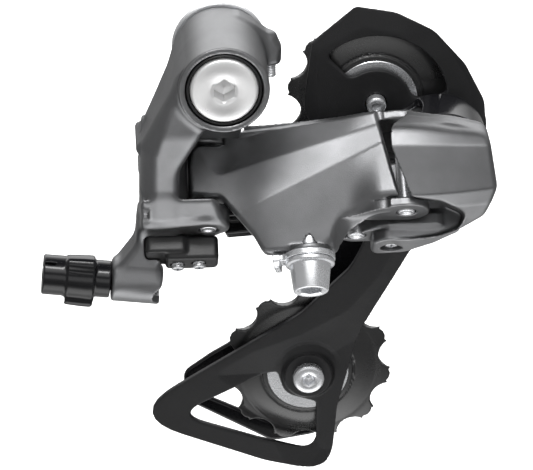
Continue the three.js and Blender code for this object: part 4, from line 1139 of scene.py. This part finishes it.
def softbox(name, azimuth, elevation, distance, size, power):
    """An area light aimed at the object."""
    back = toward(azimuth, elevation)
    light = bpy.data.lights.new(name, "AREA")
    light.shape = "RECTANGLE"
    light.size, light.size_y = size
    light.energy = power
    lamp = bpy.data.objects.new(name, light)
    lamp.location = TARGET + back * distance
    lamp.rotation_mode = "QUATERNION"
    lamp.rotation_quaternion = (-back).to_track_quat("-Z", "Y")
    bpy.context.scene.collection.objects.link(lamp)
    return lamp


softbox("key_softbox", -8, 67, 0.9, (0.4, 0.14), 2.2)
floor_light = softbox("floor_light", 180, 62, 1.3, (0.7, 0.7), 34)
floor_light.rotation_quaternion = Vector((0, 0.25, -1)).to_track_quat("-Z", "Y")
floor_light.visible_glossy = False

# The studio round the object, as bands of soft light from the floor (-1) to straight above (1): one run of
# bands in front of it and one behind it, both fading to dim sides.
FRONT_BANDS = [
    (-1.0, 0.8), (-0.92, 2.4), (-0.74, 2.4), (-0.56, 0.5), (-0.4, 0.16), (-0.05, 0.3), (0.15, 1.2),
    (0.36, 1.1), (0.47, 0.25), (0.58, 0.25), (0.67, 1.4), (0.8, 2.1), (0.92, 2.6), (0.965, 0.6),
    (0.985, 0.0), (1.0, 0.0),
]
BACK_BANDS = [
    (-1.0, 0.8), (-0.8, 0.6), (-0.3, 0.3), (0.0, 0.4), (0.25, 1.6), (0.42, 2.7), (0.6, 1.7), (0.8, 0.15),
    (0.92, 0.0), (1.0, 0.0),
]
BRIGHTEST, DIM_SIDE = 3.0, 0.24
world = bpy.data.worlds.new("studio")
bpy.context.scene.world = world
world.use_nodes = True
sky = world.node_tree


def sky_bands(height, bands):
    """The bands as a colour ramp over the height."""
    node = sky.nodes.new("ShaderNodeValToRGB")
    stops = node.color_ramp.elements
    while len(stops) < len(bands):
        stops.new(0.5)
    for stop, (z, strength) in zip(stops, bands):
        stop.position = (z + 1) / 2
        stop.color = (*(strength / BRIGHTEST,) * 3, 1)
    sky.links.new(height, node.inputs["Fac"])
    return node.outputs["Color"]


direction = sky.nodes.new("ShaderNodeSeparateXYZ")
sky.links.new(sky.nodes.new("ShaderNodeTexCoord").outputs["Generated"], direction.inputs["Vector"])
height = mapped(sky, direction.outputs["Z"], -1, 1, 0, 1)
sideways = sky.nodes.new("ShaderNodeMath")
sideways.operation = "ABSOLUTE"
sky.links.new(direction.outputs["X"], sideways.inputs[0])
behind = mapped(sky, direction.outputs["Y"], -0.08, 0.08, 0, 1, "SMOOTHSTEP")
bands = mixed(sky, behind, sky_bands(height, FRONT_BANDS), sky_bands(height, BACK_BANDS))
beside = mapped(sky, sideways.outputs["Value"], 0.2, 0.72, 0, 1, "SMOOTHSTEP")
studio = mixed(sky, beside, bands, (*(DIM_SIDE / BRIGHTEST,) * 3, 1))
sky.links.new(studio, sky.nodes["Background"].inputs["Color"])
sky.nodes["Background"].inputs["Strength"].default_value = BRIGHTEST

camera_data = bpy.data.cameras.new("camera")
camera_data.lens, camera_data.sensor_width = 244.3, 36
camera = bpy.data.objects.new("camera", camera_data)
back = toward(-3.08, 25.9)
camera.location = TARGET + back * 0.9
camera.rotation_mode = "QUATERNION"
camera.rotation_quaternion = (-back).to_track_quat("-Z", "Y")
bpy.context.scene.collection.objects.link(camera)
bpy.context.scene.camera = camera
bpy.context.scene.view_settings.view_transform = "Standard"
